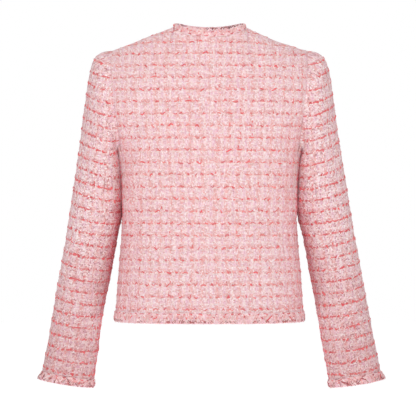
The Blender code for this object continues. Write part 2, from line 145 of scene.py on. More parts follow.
Station = namedtuple("Station", "outer_x outer_z inner_x inner_z half_depth forward")
STATIONS = (
    Station(0.1780, -0.0400, 0.1650, -0.2270, 0.0545, 0.000),
    Station(0.1912, -0.0418, 0.1672, -0.2285, 0.0590, 0.002),
    Station(0.2038, -0.0478, 0.1672, -0.2320, 0.0625, 0.004),
    Station(0.2122, -0.0588, 0.1660, -0.2375, 0.0645, 0.006),
    Station(0.2178, -0.0770, 0.1643, -0.2440, 0.0650, 0.008),
    Station(0.2225, -0.1030, 0.1628, -0.2530, 0.0650, 0.011),
    Station(0.2290, -0.1500, 0.1612, -0.2680, 0.0640, 0.014),
    Station(0.2360, -0.2030, 0.1602, -0.2890, 0.0620, 0.017),
    Station(0.2440, -0.2570, 0.1598, -0.3150, 0.0595, 0.019),
    Station(0.2520, -0.3110, 0.1620, -0.3470, 0.0565, 0.021),
    Station(0.2605, -0.3650, 0.1695, -0.3870, 0.0530, 0.023),
    Station(0.2700, -0.4200, 0.1780, -0.4380, 0.0495, 0.026),
    Station(0.2830, -0.4940, 0.1905, -0.5110, 0.0450, 0.029),
    Station(0.2957, -0.5665, 0.2017, -0.5825, 0.0410, 0.033),
    Station(0.3096, -0.6388, 0.2141, -0.6545, 0.0380, 0.037),
)
print(len(SECTIONS), "sections,", len(STATIONS), "sleeve stations")

# %% [markdown]
# A table row every few centimetres would give a jacket with facets. A cubic through the rows is smooth,
# and this one keeps level where the values turn, so the waist doesn't bulge past its own numbers.
# Two more helpers fade an effect in over a stretch of the jacket: an even ramp, and a step with soft ends.


# %% Smooth curves through the tables
def curve(xs, ys):
    """A smooth curve through the points (x, y), for whole arrays of x."""
    xs, ys = np.asarray(xs, float), np.asarray(ys, float)
    steps = np.diff(ys) / np.diff(xs)
    product = steps[:-1] * steps[1:]
    total = np.where(product > 0, steps[:-1] + steps[1:], 1.0)
    inner = np.where(product > 0, 2 * product / total, 0.0)
    slope = np.concatenate([steps[:1], inner, steps[-1:]])

    def value(x):
        x = np.clip(x, xs[0], xs[-1])
        i = np.clip(np.searchsorted(xs, x, side="right") - 1, 0, len(xs) - 2)
        width = xs[i + 1] - xs[i]
        t = (x - xs[i]) / width
        from_points = ys[i] * (1 + 2 * t) * (1 - t) ** 2 + ys[i + 1] * t * t * (3 - 2 * t)
        from_slopes = slope[i] * t * (1 - t) ** 2 - slope[i + 1] * t * t * (1 - t)
        return from_points + from_slopes * width

    return value


def column_of(table, key, field):
    """The named column of a table as a smooth function of its key column."""
    return curve([getattr(row, key) for row in table], [getattr(row, field) for row in table])


def ramp(value, start, length):
    """0 up to the start, 1 from one length past it, and an even rise between them."""
    return np.clip((value - start) / length, 0, 1)


def soft_step(share):
    """A share from 0 to 1 that starts and ends level."""
    return share * share * (3 - 2 * share)


half_width = column_of(SECTIONS, "z", "half_width")
shoulder_z = column_of(SHOULDER_LINE, "x", "z")
station_curves = {
    field: curve(range(len(STATIONS)), [getattr(row, field) for row in STATIONS])
    for field in Station._fields
}
Face = namedtuple("Face", "sign depth edge neck")
BACK = Face(1, column_of(SECTIONS, "z", "back_depth"), column_of(EDGES, "z", "back_x"), BACK_NECK)
FRONT = Face(-1, column_of(SECTIONS, "z", "front_depth"), column_of(EDGES, "z", "front_x"), FRONT_NECK)
print("half a waist:", float(half_width(-0.33)), "m")

# %% [markdown]
# The body of the jacket is a rounded oval tube that turns over towards the neckline and shoulder seams.
# It is described in columns, from the centre (0) to the armhole (11), and in rows, from the top down.
# One formula for back and front means that they meet exactly along the shoulder.


# %% The body's surface
def rounded(share):
    """Height of the rounded section where its width is at this share."""
    return np.maximum(1 - np.abs(share) ** SECTION_POWER, 0.0) ** (1 / SECTION_POWER)


def body_y(face, x, z):
    """Depth of the torso's section at this width and level."""
    return face.sign * face.depth(z) * rounded(x / half_width(z))


def top_distance(number):
    """How far from the centre a column starts, on the neckline or on the shoulder seam."""
    along_neck = NECK_HALF_WIDTH * np.sin(0.5 * math.pi * np.minimum(number / NECK_STRETCHES, 1))
    stretch = (SHOULDER_X - NECK_HALF_WIDTH) / SHOULDER_STRETCHES
    return along_neck + stretch * np.maximum(number - NECK_STRETCHES, 0)


def column_top(face, x):
    """Where a column ends above: (y, z) on the neckline, or on the shoulder seam."""
    inward = np.sqrt(np.maximum(1 - (x / NECK_HALF_WIDTH) ** 2, 0))
    on_neck = NECK_SIDE_Z + (face.neck.centre_z - NECK_SIDE_Z) * inward ** face.neck.dip
    return face.neck.centre_y * inward, np.where(x < NECK_HALF_WIDTH, on_neck, shoulder_z(x))


def turn_over(x):
    """Exponent of the curve by which the cloth turns over at a column's top."""
    blend = soft_step(ramp(x, ROUND_CHANGE_START, ROUND_CHANGE_END - ROUND_CHANGE_START))
    return 2 / (ROUND_AT_NECK + (ROUND_AT_SHOULDER - ROUND_AT_NECK) * blend)


def body_grid(face, numbers, turns, levels):
    """Points of the back or front, as [column, row, xyz]: first the turned-over rows, then the levels."""
    number = numbers[:, None]
    top_x = top_distance(number)
    top_y, top_z = column_top(face, top_x)
    turned = np.sin(turns)[None, :]
    z = top_z - (top_z - ARMHOLE_CORNER_Z) * (1 - np.cos(turns))[None, :]
    even = number / BODY_COLUMNS
    share = top_x / SHOULDER_X + (even - top_x / SHOULDER_X) * turned ** 2
    x = share * face.edge(z)
    y = top_y + (body_y(face, x, z) - top_y) * turned ** turn_over(top_x)
    upper = np.stack([x, y, z], axis=-1)
    z = np.broadcast_to(levels[None, :], (len(numbers), len(levels)))
    x = even * face.edge(z)
    lower = np.stack([x, body_y(face, x, z), z], axis=-1)
    return np.concatenate([upper, lower], axis=1)


def side_grid(shares, downs):
    """Points of the side panel: shares from the back seam (1) to the front seam (-1), downs 0 to 1."""
    share = shares[:, None]
    top_z = UNDERARM_Z + (ARMHOLE_CORNER_Z - UNDERARM_Z) * share ** 2
    z = top_z + (HEM_Z - top_z) * downs[None, :]
    depth = np.where(share >= 0, BACK.depth(z), FRONT.depth(z))
    seam_x = np.where(share >= 0, BACK.edge(z), FRONT.edge(z))
    y = depth * rounded(seam_x / half_width(z)) * share
    return np.stack([half_width(z) * rounded(y / depth), y, z], axis=-1)


HALF_TURN = 0.5 * math.pi
WAIST_Z = -0.33
back_row = body_grid(BACK, np.array([0.0]), np.array([HALF_TURN]), np.array([WAIST_Z]))
print("centre of the back at the armhole and the waist:", back_row[0].round(4).tolist())

# %% [markdown]
# A set-in sleeve starts in the shape of the armhole and becomes an oval tube as it leaves it.
# Its columns run round from the shoulder seam over the back, under the arm and up the front.


# %% The sleeve's surface
def armhole(columns):
    """Points of the armhole seam for sleeve columns from 0 to 20."""
    back_turns = HALF_TURN * np.clip(columns / ARMHOLE_ROWS, 0, 1)
    front_turns = HALF_TURN * np.clip((SLEEVE_COLUMNS - columns) / ARMHOLE_ROWS, 0, 1)
    edge = np.array([float(BODY_COLUMNS)])
    none = np.array([])
    back = body_grid(BACK, edge, back_turns, none)[0]
    front = body_grid(FRONT, edge, front_turns, none)[0]
    side = side_grid(1 - (columns - ARMHOLE_ROWS) / 2, np.array([0.0]))[:, 0]
    is_back = (columns <= ARMHOLE_ROWS)[:, None]
    is_front = (columns >= SLEEVE_COLUMNS - ARMHOLE_ROWS)[:, None]
    return np.where(is_back, back, np.where(is_front, front, side))


def oval(columns, stations):
    """The sleeve's oval sections, as [column, station, xyz]."""
    row = {field: value(stations)[None, :] for field, value in station_curves.items()}
    angle = (2 * math.pi * columns / SLEEVE_COLUMNS)[:, None]
    x = (row["outer_x"] + row["inner_x"]) / 2 + (row["outer_x"] - row["inner_x"]) / 2 * np.cos(angle)
    z = (row["outer_z"] + row["inner_z"]) / 2 + (row["outer_z"] - row["inner_z"]) / 2 * np.cos(angle)
    return np.stack([x, row["half_depth"] * np.sin(angle) - row["forward"], z], axis=-1)


def sleeve_grid(columns, stations):
    """Points of the sleeve, as [column, station, xyz]."""
    difference = armhole(columns) - oval(columns, np.array([0.0]))[:, 0]
    left = np.maximum(1 - stations / HEAD_STATIONS, 0)
    return oval(columns, stations) + difference[:, None] * (left ** 2)[None, :, None]


print("sleeve point at the cuff:", sleeve_grid(np.array([0.0]), np.array([14.0]))[0, 0].round(4).tolist())

# %% [markdown]
# Tweed is checked, so each piece of cloth needs to know where its yarns run. Every point gets two weave
# coordinates in metres: across, along the weft, and down, along the warp. They are measured over the cloth
# and not through the air, which keeps every check the same size where the jacket turns over.
# At the back seam some cloth is taken in at the waist, so the columns next to it run into the seam.

# %% Weave coordinates
ROW_REPEAT = 0.0217
COLUMN_REPEAT = 0.0196
ROW_LEVEL = -0.3101         # a coral row lies at this level on the body
LEAST_SHARE = 0.72          # a check is stretched at most by this share's inverse
ACROSS_LEVEL = -0.150       # above it, the columns run straight up
BODY_MIDDLE = (0.0, 0.0, -0.3)
CHORD_POINTS = 25           # points along the weft by which its length is measured

TakeIn = namedtuple("TakeIn", "z taken")
BACK_SEAM = (
    TakeIn(-0.530, 0.0040),
    TakeIn(-0.430, 0.0075),
    TakeIn(-0.320, 0.0100),
    TakeIn(-0.220, 0.0060),
    TakeIn(-0.120, 0.0010),
    TakeIn(-0.080, 0.0000),
)
taken_in = column_of(BACK_SEAM, "z", "taken")

Panel = namedtuple("Panel", "points normals across down")


def lengths_along(points, axis):
    """Distance travelled from the first point, along the columns or the rows of a grid."""
    steps = np.linalg.norm(np.diff(points, axis=axis), axis=-1)
    start = np.zeros_like(np.take(steps, [0], axis=axis))
    return np.concatenate([start, np.cumsum(steps, axis=axis)], axis=axis)


def outward_normals(points, middle):
    """Unit normals of a grid, turned away from the middle of the garment's tube."""
    normals = np.cross(np.gradient(points, axis=0), np.gradient(points, axis=1))
    normals /= np.linalg.norm(normals, axis=-1, keepdims=True)
    return normals * np.sign(np.sum(normals * (points - middle)))


def down_the_weave(points, level):
    """How far down the weave each point lies, from a level measured straight through the air.

    Up from the last row, the weave follows the level. Where the cloth turns over it is let out, so that
    no check is stretched by more than a fixed share.
    """
    least = LEAST_SHARE * np.linalg.norm(np.diff(points, axis=1), axis=-1)
    steps = np.maximum(np.diff(level, axis=1), least)
    above = np.cumsum(steps[:, ::-1], axis=1)[:, ::-1]
    return level[:, -1:] - np.concatenate([above, np.zeros((len(points), 1))], axis=1)


def body_down(points):
    """How far each point of the body lies below one coral row."""
    return down_the_weave(points, ROW_LEVEL - points[..., 2])


def body_across(face, points):
    """How far the weft runs from the centre line to each point, over the cloth."""
    x, z = points[..., 0], np.minimum(points[..., 2], ACROSS_LEVEL)
    shares = np.linspace(0, 1, CHORD_POINTS)
    xs = x[..., None] * shares
    ys = body_y(face, xs, z[..., None])
    return np.hypot(np.diff(xs), np.diff(ys)).sum(-1)


def body_panel(face, numbers, turns, levels):
    """The left half of the back or front, with the cloth that the back seam takes in."""
    points = body_grid(face, numbers, turns, levels)
    across = body_across(face, points)
    if face is BACK:
        across = across + taken_in(points[..., 2])
    return Panel(points, outward_normals(points, BODY_MIDDLE), across, body_down(points))


def side_panel(shares, downs):
    """The left side panel, with its across coordinate measured from its middle."""
    points = side_grid(shares, downs)
    travelled = lengths_along(points, 0)
    middle = travelled[len(shares) // 2]
    return Panel(points, outward_normals(points, BODY_MIDDLE), travelled - middle, body_down(points))


print("one check is", COLUMN_REPEAT * 1000, "by", ROW_REPEAT * 1000, "mm")

# %% [markdown]
# Sleeves are cut and woven apart from the body, so their rows have a start and a slant of their own.
# The rows follow the line down the middle of the arm, sag a little behind it and rise outward near the
# shoulder. Angles round the arm would be simpler to work with, but they shrink the checks at the wrist.
# The distance round the arm is therefore measured over the cloth, along lines of equal level.

# %% Weave coordinates of the sleeves
SLEEVE_TOP_STATION = 7.0
SLEEVE_ROW_PHASE = 0.0095
SLEEVE_BOW = 0.09           # the rows sag behind the arm by this share of the depth
SLEEVE_TILT = 0.20          # high on the arm they also rise outward by this share of the width
TILT_START_Z = -0.36
TILT_RISE = 0.19
TILT_INNER = -0.02
TILT_OUTER = 0.06
LEVELS_READ = 300


def sleeve_middle(stations):
    """The line down the middle of the sleeve."""
    row = {field: value(stations) for field, value in station_curves.items()}
    x, z = (row["outer_x"] + row["inner_x"]) / 2, (row["outer_z"] + row["inner_z"]) / 2
    return np.stack([x, -row["forward"], z], axis=-1)


def distance_round(points, level, middle):
    """Distance over the cloth from the middle column, along lines of equal level.

    Above an armhole the middle column of an under sleeve has ended. There the distance to it stays what
    it was, less what the columns still there have come in from their seam.
    """
    level = np.maximum.accumulate(level, axis=1)
    levels = np.linspace(level.min(), level.max(), LEVELS_READ)
    at = np.stack([np.stack([np.interp(levels, height, line[:, k], left=np.nan, right=np.nan)
                             for k in range(3)], axis=-1) for height, line in zip(level, points)])
    gaps = np.nan_to_num(np.linalg.norm(np.diff(at, axis=0), axis=-1))
    before = np.cumsum(gaps[:middle][::-1], axis=0)[::-1]
    after = np.cumsum(gaps[middle:], axis=0)
    ended = np.isnan(at[middle, :, 0]) & (levels < level[middle, 0])
    if ended.any():
        last = np.flatnonzero(ended)[-1] + 2
        before[:, ended] += before[0, last] - before[0, ended]
        after[:, ended] += after[-1, last] - after[-1, ended]
    across = np.concatenate([-before, np.zeros((1, len(levels))), after])
    kept = ~np.isnan(at[..., 0])
    return np.stack([np.interp(height, levels[has], line[has])
                     for height, line, has in zip(level, across, kept)])


def sleeve_panel(columns, stations, middle_column):
    """A piece of the left sleeve, with its across coordinate measured from its middle column."""
    points = sleeve_grid(columns % SLEEVE_COLUMNS, stations)
    middle = sleeve_middle(stations)
    start, end = sleeve_middle(np.array([SLEEVE_TOP_STATION, len(STATIONS) - 1.0]))
    axis = (end - start) / np.linalg.norm(end - start)
    tilt = SLEEVE_TILT * ramp(points[..., 2], TILT_START_Z, TILT_RISE)
    down = (points - start) @ axis - SLEEVE_BOW * (points - middle)[..., 1] + SLEEVE_ROW_PHASE
    down = down + tilt * np.clip((points - middle)[..., 0], TILT_INNER, TILT_OUTER)
    across = distance_round(points, down, int(np.argmin(np.abs(columns - middle_column))))
    return Panel(points, outward_normals(points, middle[None]), across, down)


print("the sleeve's rows start", SLEEVE_ROW_PHASE * 1000, "mm down the arm")

# %% [markdown]
# The pieces are now worked out as grids of points, fine enough for soft creases. A seam's roll is only a
# few millimetres wide, so the steps get closer at the edges of each piece. Only the wearer's left half is
# made here, and the right half is its mirror image.

# %% The left half as grids of points
CLOSE_STEPS = np.array([0.08, 0.2, 0.4, 0.7])
MEASURED_COLUMN = 3.0       # the sleeve's steps are even along this column


def steps_with_close_ends(first, last, count):
    """Even steps, with closer ones at both ends, where the cloth rolls into its seams."""
    near = CLOSE_STEPS * ((last - first) / count)
    return np.unique(np.concatenate([np.linspace(first, last, count + 1), first + near, last - near]))


BODY_NUMBERS = steps_with_close_ends(0, BODY_COLUMNS, count=46)
BODY_TURNS = steps_with_close_ends(0, HALF_TURN, count=56)
BODY_LEVELS = np.linspace(ARMHOLE_CORNER_Z, HEM_Z, num=81)[1:]
SIDE_SHARES = steps_with_close_ends(-1, 1, count=36)[::-1]
SIDE_DOWNS = steps_with_close_ends(0, 1, count=80)
UPPER_COLUMNS = steps_with_close_ends(FORE_ARM_COLUMN, SLEEVE_COLUMNS + HIND_ARM_COLUMN, count=58)
UNDER_COLUMNS = steps_with_close_ends(HIND_ARM_COLUMN, FORE_ARM_COLUMN, count=30)

rough_stations = np.linspace(0, len(STATIONS) - 1, num=400)
rough_lengths = lengths_along(sleeve_grid(np.array([MEASURED_COLUMN]), rough_stations), 1)[0]
even_lengths = steps_with_close_ends(0, rough_lengths[-1], count=140)
SLEEVE_STEPS = np.interp(even_lengths, rough_lengths, rough_stations)

left_half = {
    "back": body_panel(BACK, BODY_NUMBERS, BODY_TURNS, BODY_LEVELS),
    "front": body_panel(FRONT, BODY_NUMBERS, BODY_TURNS, BODY_LEVELS),
    "side_panel": side_panel(SIDE_SHARES, SIDE_DOWNS),
    "upper_sleeve": sleeve_panel(UPPER_COLUMNS, SLEEVE_STEPS, SLEEVE_COLUMNS),
    "under_sleeve": sleeve_panel(UNDER_COLUMNS, SLEEVE_STEPS, SLEEVE_COLUMNS / 2),
}
for name, panel in left_half.items():
    print(name, panel.points.shape[:2], "spans", (np.ptp(panel.across) * 1000).round(), "by",
          (np.ptp(panel.down) * 1000).round(), "mm")

# %% [markdown]
# Cloth is never as smooth as a formula, and soft creases run where arms and waist bend it. A cloth
# simulation would place them by chance, so they are listed one by one. Each is given in weave coordinates,
# with an angle, a half length, a half width and a depth, and no two are alike. A negative depth is a
# ridge: the long ones on the under sleeves and side panels let sleeve and body lean softly on each other.

# %% Creases and ridges
Crease = namedtuple("Crease", "across down degrees length width depth")
CREASES = {
    "back_left": (
        Crease(0.150, -0.120, 62, 0.050, 0.013, 0.0022),
        Crease(0.118, -0.075, 70, 0.038, 0.012, 0.0013),
        Crease(0.120, 0.020, 8, 0.045, 0.016, 0.0017),
        Crease(0.070, 0.170, 86, 0.055, 0.020, 0.0012),
        Crease(0.045, -0.200, 75, 0.050, 0.022, 0.0010),
    ),
    "back_right": (
        Crease(-0.148, -0.105, -58, 0.046, 0.012, 0.0024),
        Crease(-0.105, -0.060, -74, 0.042, 0.015, 0.0011),
        Crease(-0.128, 0.034, -12, 0.040, 0.014, 0.0016),
        Crease(-0.085, 0.150, -82, 0.062, 0.018, 0.0014),
    ),
    "front_left": (
        Crease(0.138, -0.110, 55, 0.044, 0.012, 0.0022),
        Crease(0.110, 0.010, 15, 0.050, 0.016, 0.0018),
        Crease(0.060, 0.130, 80, 0.060, 0.020, 0.0013),
        Crease(0.120, 0.110, 40, 0.035, 0.013, 0.0011),
    ),
    "front_right": (
        Crease(-0.140, -0.120, -60, 0.047, 0.013, 0.0020),
        Crease(-0.118, 0.000, -10, 0.044, 0.015, 0.0019),
        Crease(-0.075, 0.150, -84, 0.055, 0.021, 0.0012),
    ),
    "side_panel_left": (
        Crease(0.000, -0.070, 0, 0.030, 0.020, -0.0018),
        Crease(-0.014, -0.096, 0, 0.044, 0.016, -0.0034),
        Crease(0.010, -0.020, 4, 0.030, 0.012, 0.0011),
        Crease(-0.015, 0.030, -8, 0.034, 0.012, 0.0012),
    ),
    "side_panel_right": (
        Crease(0.000, -0.070, 0, 0.030, 0.021, -0.0020),
        Crease(0.014, -0.096, 0, 0.044, 0.017, -0.0036),
        Crease(-0.008, -0.030, -6, 0.032, 0.012, 0.0010),
        Crease(0.014, 0.040, 10, 0.028, 0.011, 0.0011),
    ),
    "upper_sleeve_left": (
        Crease(0.075, 0.030, 24, 0.040, 0.012, 0.0022),
        Crease(0.085, 0.110, -16, 0.036, 0.011, 0.0020),
        Crease(0.030, 0.150, 10, 0.030, 0.013, 0.0010),
        Crease(-0.070, 0.080, -20, 0.038, 0.012, 0.0019),
        Crease(-0.080, 0.125, 14, 0.030, 0.010, 0.0016),
        Crease(0.060, -0.060, 52, 0.042, 0.013, 0.0017),
        Crease(0.045, 0.280, 30, 0.032, 0.013, 0.0010),
    ),
    "upper_sleeve_right": (
        Crease(-0.080, 0.045, -20, 0.042, 0.012, 0.0023),
        Crease(-0.078, 0.128, 18, 0.034, 0.011, 0.0018),
        Crease(0.074, 0.070, 22, 0.036, 0.012, 0.0018),
        Crease(0.068, 0.140, -12, 0.032, 0.011, 0.0015),
        Crease(-0.062, -0.050, -48, 0.040, 0.014, 0.0018),
        Crease(-0.020, 0.240, -26, 0.034, 0.013, 0.0009),
    ),
    "under_sleeve_left": (
        Crease(0.000, 0.050, 4, 0.050, 0.045, -0.0040),
        Crease(0.000, -0.004, 0, 0.040, 0.022, -0.0034),
        Crease(0.030, 0.062, 6, 0.026, 0.010, 0.0022),
        Crease(-0.034, 0.084, -8, 0.024, 0.010, 0.0020),
        Crease(0.028, 0.118, 4, 0.026, 0.011, 0.0019),
        Crease(0.026, 0.012, 22, 0.028, 0.010, 0.0016),
        Crease(0.000, 0.290, 0, 0.050, 0.085, 0.0034),
    ),
    "under_sleeve_right": (
        Crease(0.000, 0.060, -3, 0.050, 0.050, -0.0060),
        Crease(0.000, -0.002, 0, 0.040, 0.024, -0.0032),
        Crease(-0.032, 0.074, -7, 0.026, 0.011, 0.0021),
        Crease(0.034, 0.100, 9, 0.025, 0.010, 0.0020),
        Crease(-0.030, 0.134, -3, 0.027, 0.011, 0.0017),
        Crease(-0.026, 0.018, -20, 0.028, 0.010, 0.0016),
    ),
}

print(sum(len(creases) for creases in CREASES.values()), "creases and ridges on", len(CREASES), "pieces")

# %% [markdown]
# Along the normals the cloth also moves in and out by smaller amounts: each seam pulls it in by a fraction
# of a millimetre, the unsewn edges of the centre front turn in further, and the loose weave is faintly
# uneven all over. The wearer's right shoulder has sunk a little, and the right sleeve hangs further out
# than the left one: a worn jacket is never quite even.

# %% Seams and unevenness
SEAM_DIP = 0.0005
SEAM_ROLL = 0.0034
TUCK = 0.0018               # how far the sleeve's edge reaches in under the armhole

Sunk = namedtuple("Sunk", "x width depth start_z rise")
SUNK_AT = Sunk(x=0.118, width=0.052, depth=0.0032, start_z=-0.115, rise=0.085)

# Two long waves crossing, and two short ones: turns a metre across and down, shares of the seed, height.
Waves = namedtuple("Waves", "first second seeds height")
UNEVENNESS = (
    Waves((95, 31), (-23, 71), (1, 2), 0.00045),
    Waves((233, 87), (-61, 187), (3, 1), 0.00022),
)

RIGHT_SEED = 0.5            # keeps a right piece from being uneven like the left one

# How strongly the edges of a piece pull in: its first and last columns, and its top row.
Seams = namedtuple("Seams", "first last top")
SEWN = {
    "back": Seams(1, 1, 1),
    "front": Seams(5.5, 1, 1),
    "side_panel": Seams(1, 1, 1),
    "upper_sleeve": Seams(1, 1, 1),
    "under_sleeve": Seams(1, 1, 1),
}


def seam_dips(panel, seams, top_share):
    """How far the seams pull each point in."""
    from_first = lengths_along(panel.points, 0)
    from_last = from_first[-1] - from_first
    from_top = lengths_along(panel.points, 1)
    dips = seams.first * np.exp(-(from_first / SEAM_ROLL) ** 2)
    dips = np.maximum(dips, seams.last * np.exp(-(from_last / SEAM_ROLL) ** 2))
    dips = np.maximum(dips, seams.top * top_share[:, None] * np.exp(-(from_top / SEAM_ROLL) ** 2))
    return dips * SEAM_DIP


def crease_dips(panel, creases):
    """How far the soft creases pull each point in."""
    dips = np.zeros(panel.across.shape)
    for crease in creases:
        turn = math.radians(crease.degrees)
        right, below = panel.across - crease.across, panel.down - crease.down
        along = right * math.cos(turn) + below * math.sin(turn)
        aside = below * math.cos(turn) - right * math.sin(turn)
        dips += crease.depth * np.exp(-(along / crease.length) ** 2 - (aside / crease.width) ** 2)
    return dips


def unevenness(panel, seed):
    """A faint waviness of the loose weave, from a few centimetres down to one centimetre long."""
    total = np.zeros(panel.across.shape)
    for waves in UNEVENNESS:
        one, other = (np.sin(panel.across * turns[0] + panel.down * turns[1] + share * seed)
                      for turns, share in zip((waves.first, waves.second), waves.seeds))
        total += one * other * waves.height
    return total


def shoulder_drop(points):
    """The right shoulder has sunk a little between neck and sleeve head."""
    along = np.clip(1 - ((points[..., 0] + SUNK_AT.x) / SUNK_AT.width) ** 2, 0, 1)
    return SUNK_AT.depth * along * soft_step(ramp(points[..., 2], SUNK_AT.start_z, SUNK_AT.rise))


def settled(name, panel, seed):
    """The panel with its seams, creases and unevenness."""
    kind = name.rsplit("_", 1)[0]
    top_share = np.ones(len(panel.across))
    if kind in ("back", "front"):
        top_share = np.clip(BODY_NUMBERS - NECK_STRETCHES, 0, 1)
    offset = unevenness(panel, seed) - crease_dips(panel, CREASES[name])
    offset -= seam_dips(panel, SEWN[kind], top_share)
    points = panel.points + panel.normals * offset[..., None]
    if name in ("back_right", "front_right"):
        points[..., 2] -= shoulder_drop(points)
    if "sleeve" in kind:
        tucked = panel.points[:, 0] - panel.points[:, 1]
        points[:, 0] += tucked / np.linalg.norm(tucked, axis=-1, keepdims=True) * TUCK
    return panel._replace(points=points)


def mirrored(points):
    """Points or directions on the other side of the jacket."""
    return points * np.array([-1, 1, 1])


def swung(points):
    """Sleeve points of the wearer's right, before they are mirrored: they hang further out."""
    points = points.copy()
    points[..., 0] += np.maximum(SWING_START_Z - points[..., 2], 0) * RIGHT_SLEEVE_SWING
    return points


def on_the_right(kind, panel):
    """The same piece on the wearer's right."""
    points = swung(panel.points) if "sleeve" in kind else panel.points
    return Panel(mirrored(points), mirrored(panel.normals), -panel.across, panel.down)


panels = {}
for seed, (kind, panel) in enumerate(left_half.items()):
    panels[kind + "_left"] = settled(kind + "_left", panel, seed)
    panels[kind + "_right"] = settled(kind + "_right", on_the_right(kind, panel), seed + RIGHT_SEED)
print(len(panels), "pieces of cloth settled")

# %% [markdown]
# The tweed's pattern comes from shader nodes, because a painted image would show its own grain up close.
# Building nodes one by one takes many lines, so a few helpers make the common ones: a sum, a blend of two
# colours, a soft change from one range to another, and blotches of noise laid along the weave.


# %% Node helpers
Range = namedtuple("Range", "low high to_low to_high", defaults=(0.0, 1.0))
Blotches = namedtuple("Blotches", "across down detail shift", defaults=(1.0, 0.0))     # so many a metre

# A Mix node has sockets for every kind of value. These take and give two numbers or two colours.
Mixed = namedtuple("Mixed", "first second result")
NUMBERS, COLOURS = Mixed(2, 3, 0), Mixed(6, 7, 2)


def linked(tree, socket, value):
    """Feed a socket from another socket, or set its own value."""
    if isinstance(value, bpy.types.NodeSocket):
        tree.links.new(value, socket)
    else:
        socket.default_value = value


def calculate(tree, operation, *values, clamp=False):
    """A Math node's result."""
    made = tree.nodes.new("ShaderNodeMath")
    made.operation = operation
    made.use_clamp = clamp
    for socket, value in zip(made.inputs, values):
        linked(tree, socket, value)
    return made.outputs[0]


def blended(tree, share, first, second, kind="MIX"):
    """Two colours mixed by a share."""
    made = tree.nodes.new("ShaderNodeMix")
    made.data_type = "RGBA"
    made.blend_type = kind
    linked(tree, made.inputs["Factor"], share)
    linked(tree, made.inputs[COLOURS.first], first)
    linked(tree, made.inputs[COLOURS.second], second)
    return made.outputs[COLOURS.result]


def between(tree, share, first, second):
    """A number between two others, by a share."""
    made = tree.nodes.new("ShaderNodeMix")
    linked(tree, made.inputs["Factor"], share)
    linked(tree, made.inputs[NUMBERS.first], first)
    linked(tree, made.inputs[NUMBERS.second], second)
    return made.outputs[NUMBERS.result]


def eased(tree, value, limits):
    """A value brought smoothly from low and high to the two numbers that they stand for."""
    made = tree.nodes.new("ShaderNodeMapRange")
    made.interpolation_type = "SMOOTHSTEP"
    linked(tree, made.inputs["Value"], value)
    for name, number in zip(("From Min", "From Max", "To Min", "To Max"), limits):
        made.inputs[name].default_value = number
    return made.outputs["Result"]


def combined(tree, x, y, z=0.0):
    """A vector from three values."""
    made = tree.nodes.new("ShaderNodeCombineXYZ")
    for socket, value in zip(made.inputs, (x, y, z)):
        linked(tree, socket, value)
    return made.outputs[0]


def noise_at(tree, vector, detail=1.0):
    """Soft noise, with one bump to each unit of the vector."""
    made = tree.nodes.new("ShaderNodeTexNoise")
    made.inputs["Scale"].default_value = 1
    made.inputs["Detail"].default_value = detail
    linked(tree, made.inputs["Vector"], vector)
    return made.outputs["Fac"]


def mottle(tree, place, blotches):
    """Noise in blotches that run across and down the weave."""
    stretch = tree.nodes.new("ShaderNodeMapping")
    linked(tree, stretch.inputs["Vector"], place)
    stretch.inputs["Scale"].default_value = (blotches.across, blotches.down, 1)
    stretch.inputs["Location"].default_value = (blotches.shift, 2 * blotches.shift, blotches.shift)
    return noise_at(tree, stretch.outputs[0], blotches.detail)


def srgb(red, green, blue):
    """A colour from display values of 0 to 255, as the linear values that shaders use."""
    shares = (value / 255 for value in (red, green, blue))
    linear = (share / 12.92 if share < 0.0405 else ((share + 0.055) / 1.055) ** 2.4 for share in shares)
    return (*linear, 1.0)


def charted(tree, turn, colours):
    """The yarn colour at this turn of a repeat, from a chart with one colour a yarn."""
    chart = tree.nodes.new("ShaderNodeValToRGB")
    chart.color_ramp.interpolation = "CONSTANT"
    share = calculate(tree, "FRACT", calculate(tree, "ADD", turn, 0.5 / len(colours)))
    tree.links.new(share, chart.inputs[0])
    stops = chart.color_ramp.elements
    while len(stops) < len(colours):
        stops.new(1.0)
    for i, colour in enumerate(colours):
        stops[i].position = i / len(colours)
        stops[i].color = colour
    return chart.outputs[0]


print("pure white is", srgb(255, 255, 255))

# %% [markdown]
# Tweed of this sort is woven from thick, loose yarns of several colours. Eight warp yarns and nine picks
# of weft make one check, and the coral pick shows in dashes between salmon neighbours. The colours are
# charted as on a weaver's draft, one for each yarn, followed by the sizes of all that is uneven in the
# cloth. They could be typed into the nodes, but here they can be changed without reading those.

# %% The tweed's draft
WHITE = srgb(245, 229, 231)
CREAM = srgb(243, 212, 207)
PALE = srgb(242, 199, 205)
LILAC = srgb(233, 182, 199)
BLUSH = srgb(236, 178, 176)
SALMON = srgb(235, 150, 147)
BEIGE = srgb(232, 176, 170)
GREY = srgb(219, 162, 161)
HAZE = srgb(236, 165, 162)
WARP_CHART = (HAZE, BLUSH, PALE, LILAC, PALE, CREAM, PALE, BEIGE)
WEFT_CHART = (SALMON, CREAM, PALE, LILAC, PALE, CREAM, PALE, BLUSH, HAZE)
END = COLUMN_REPEAT / len(WARP_CHART)
PICK = ROW_REPEAT / len(WEFT_CHART)

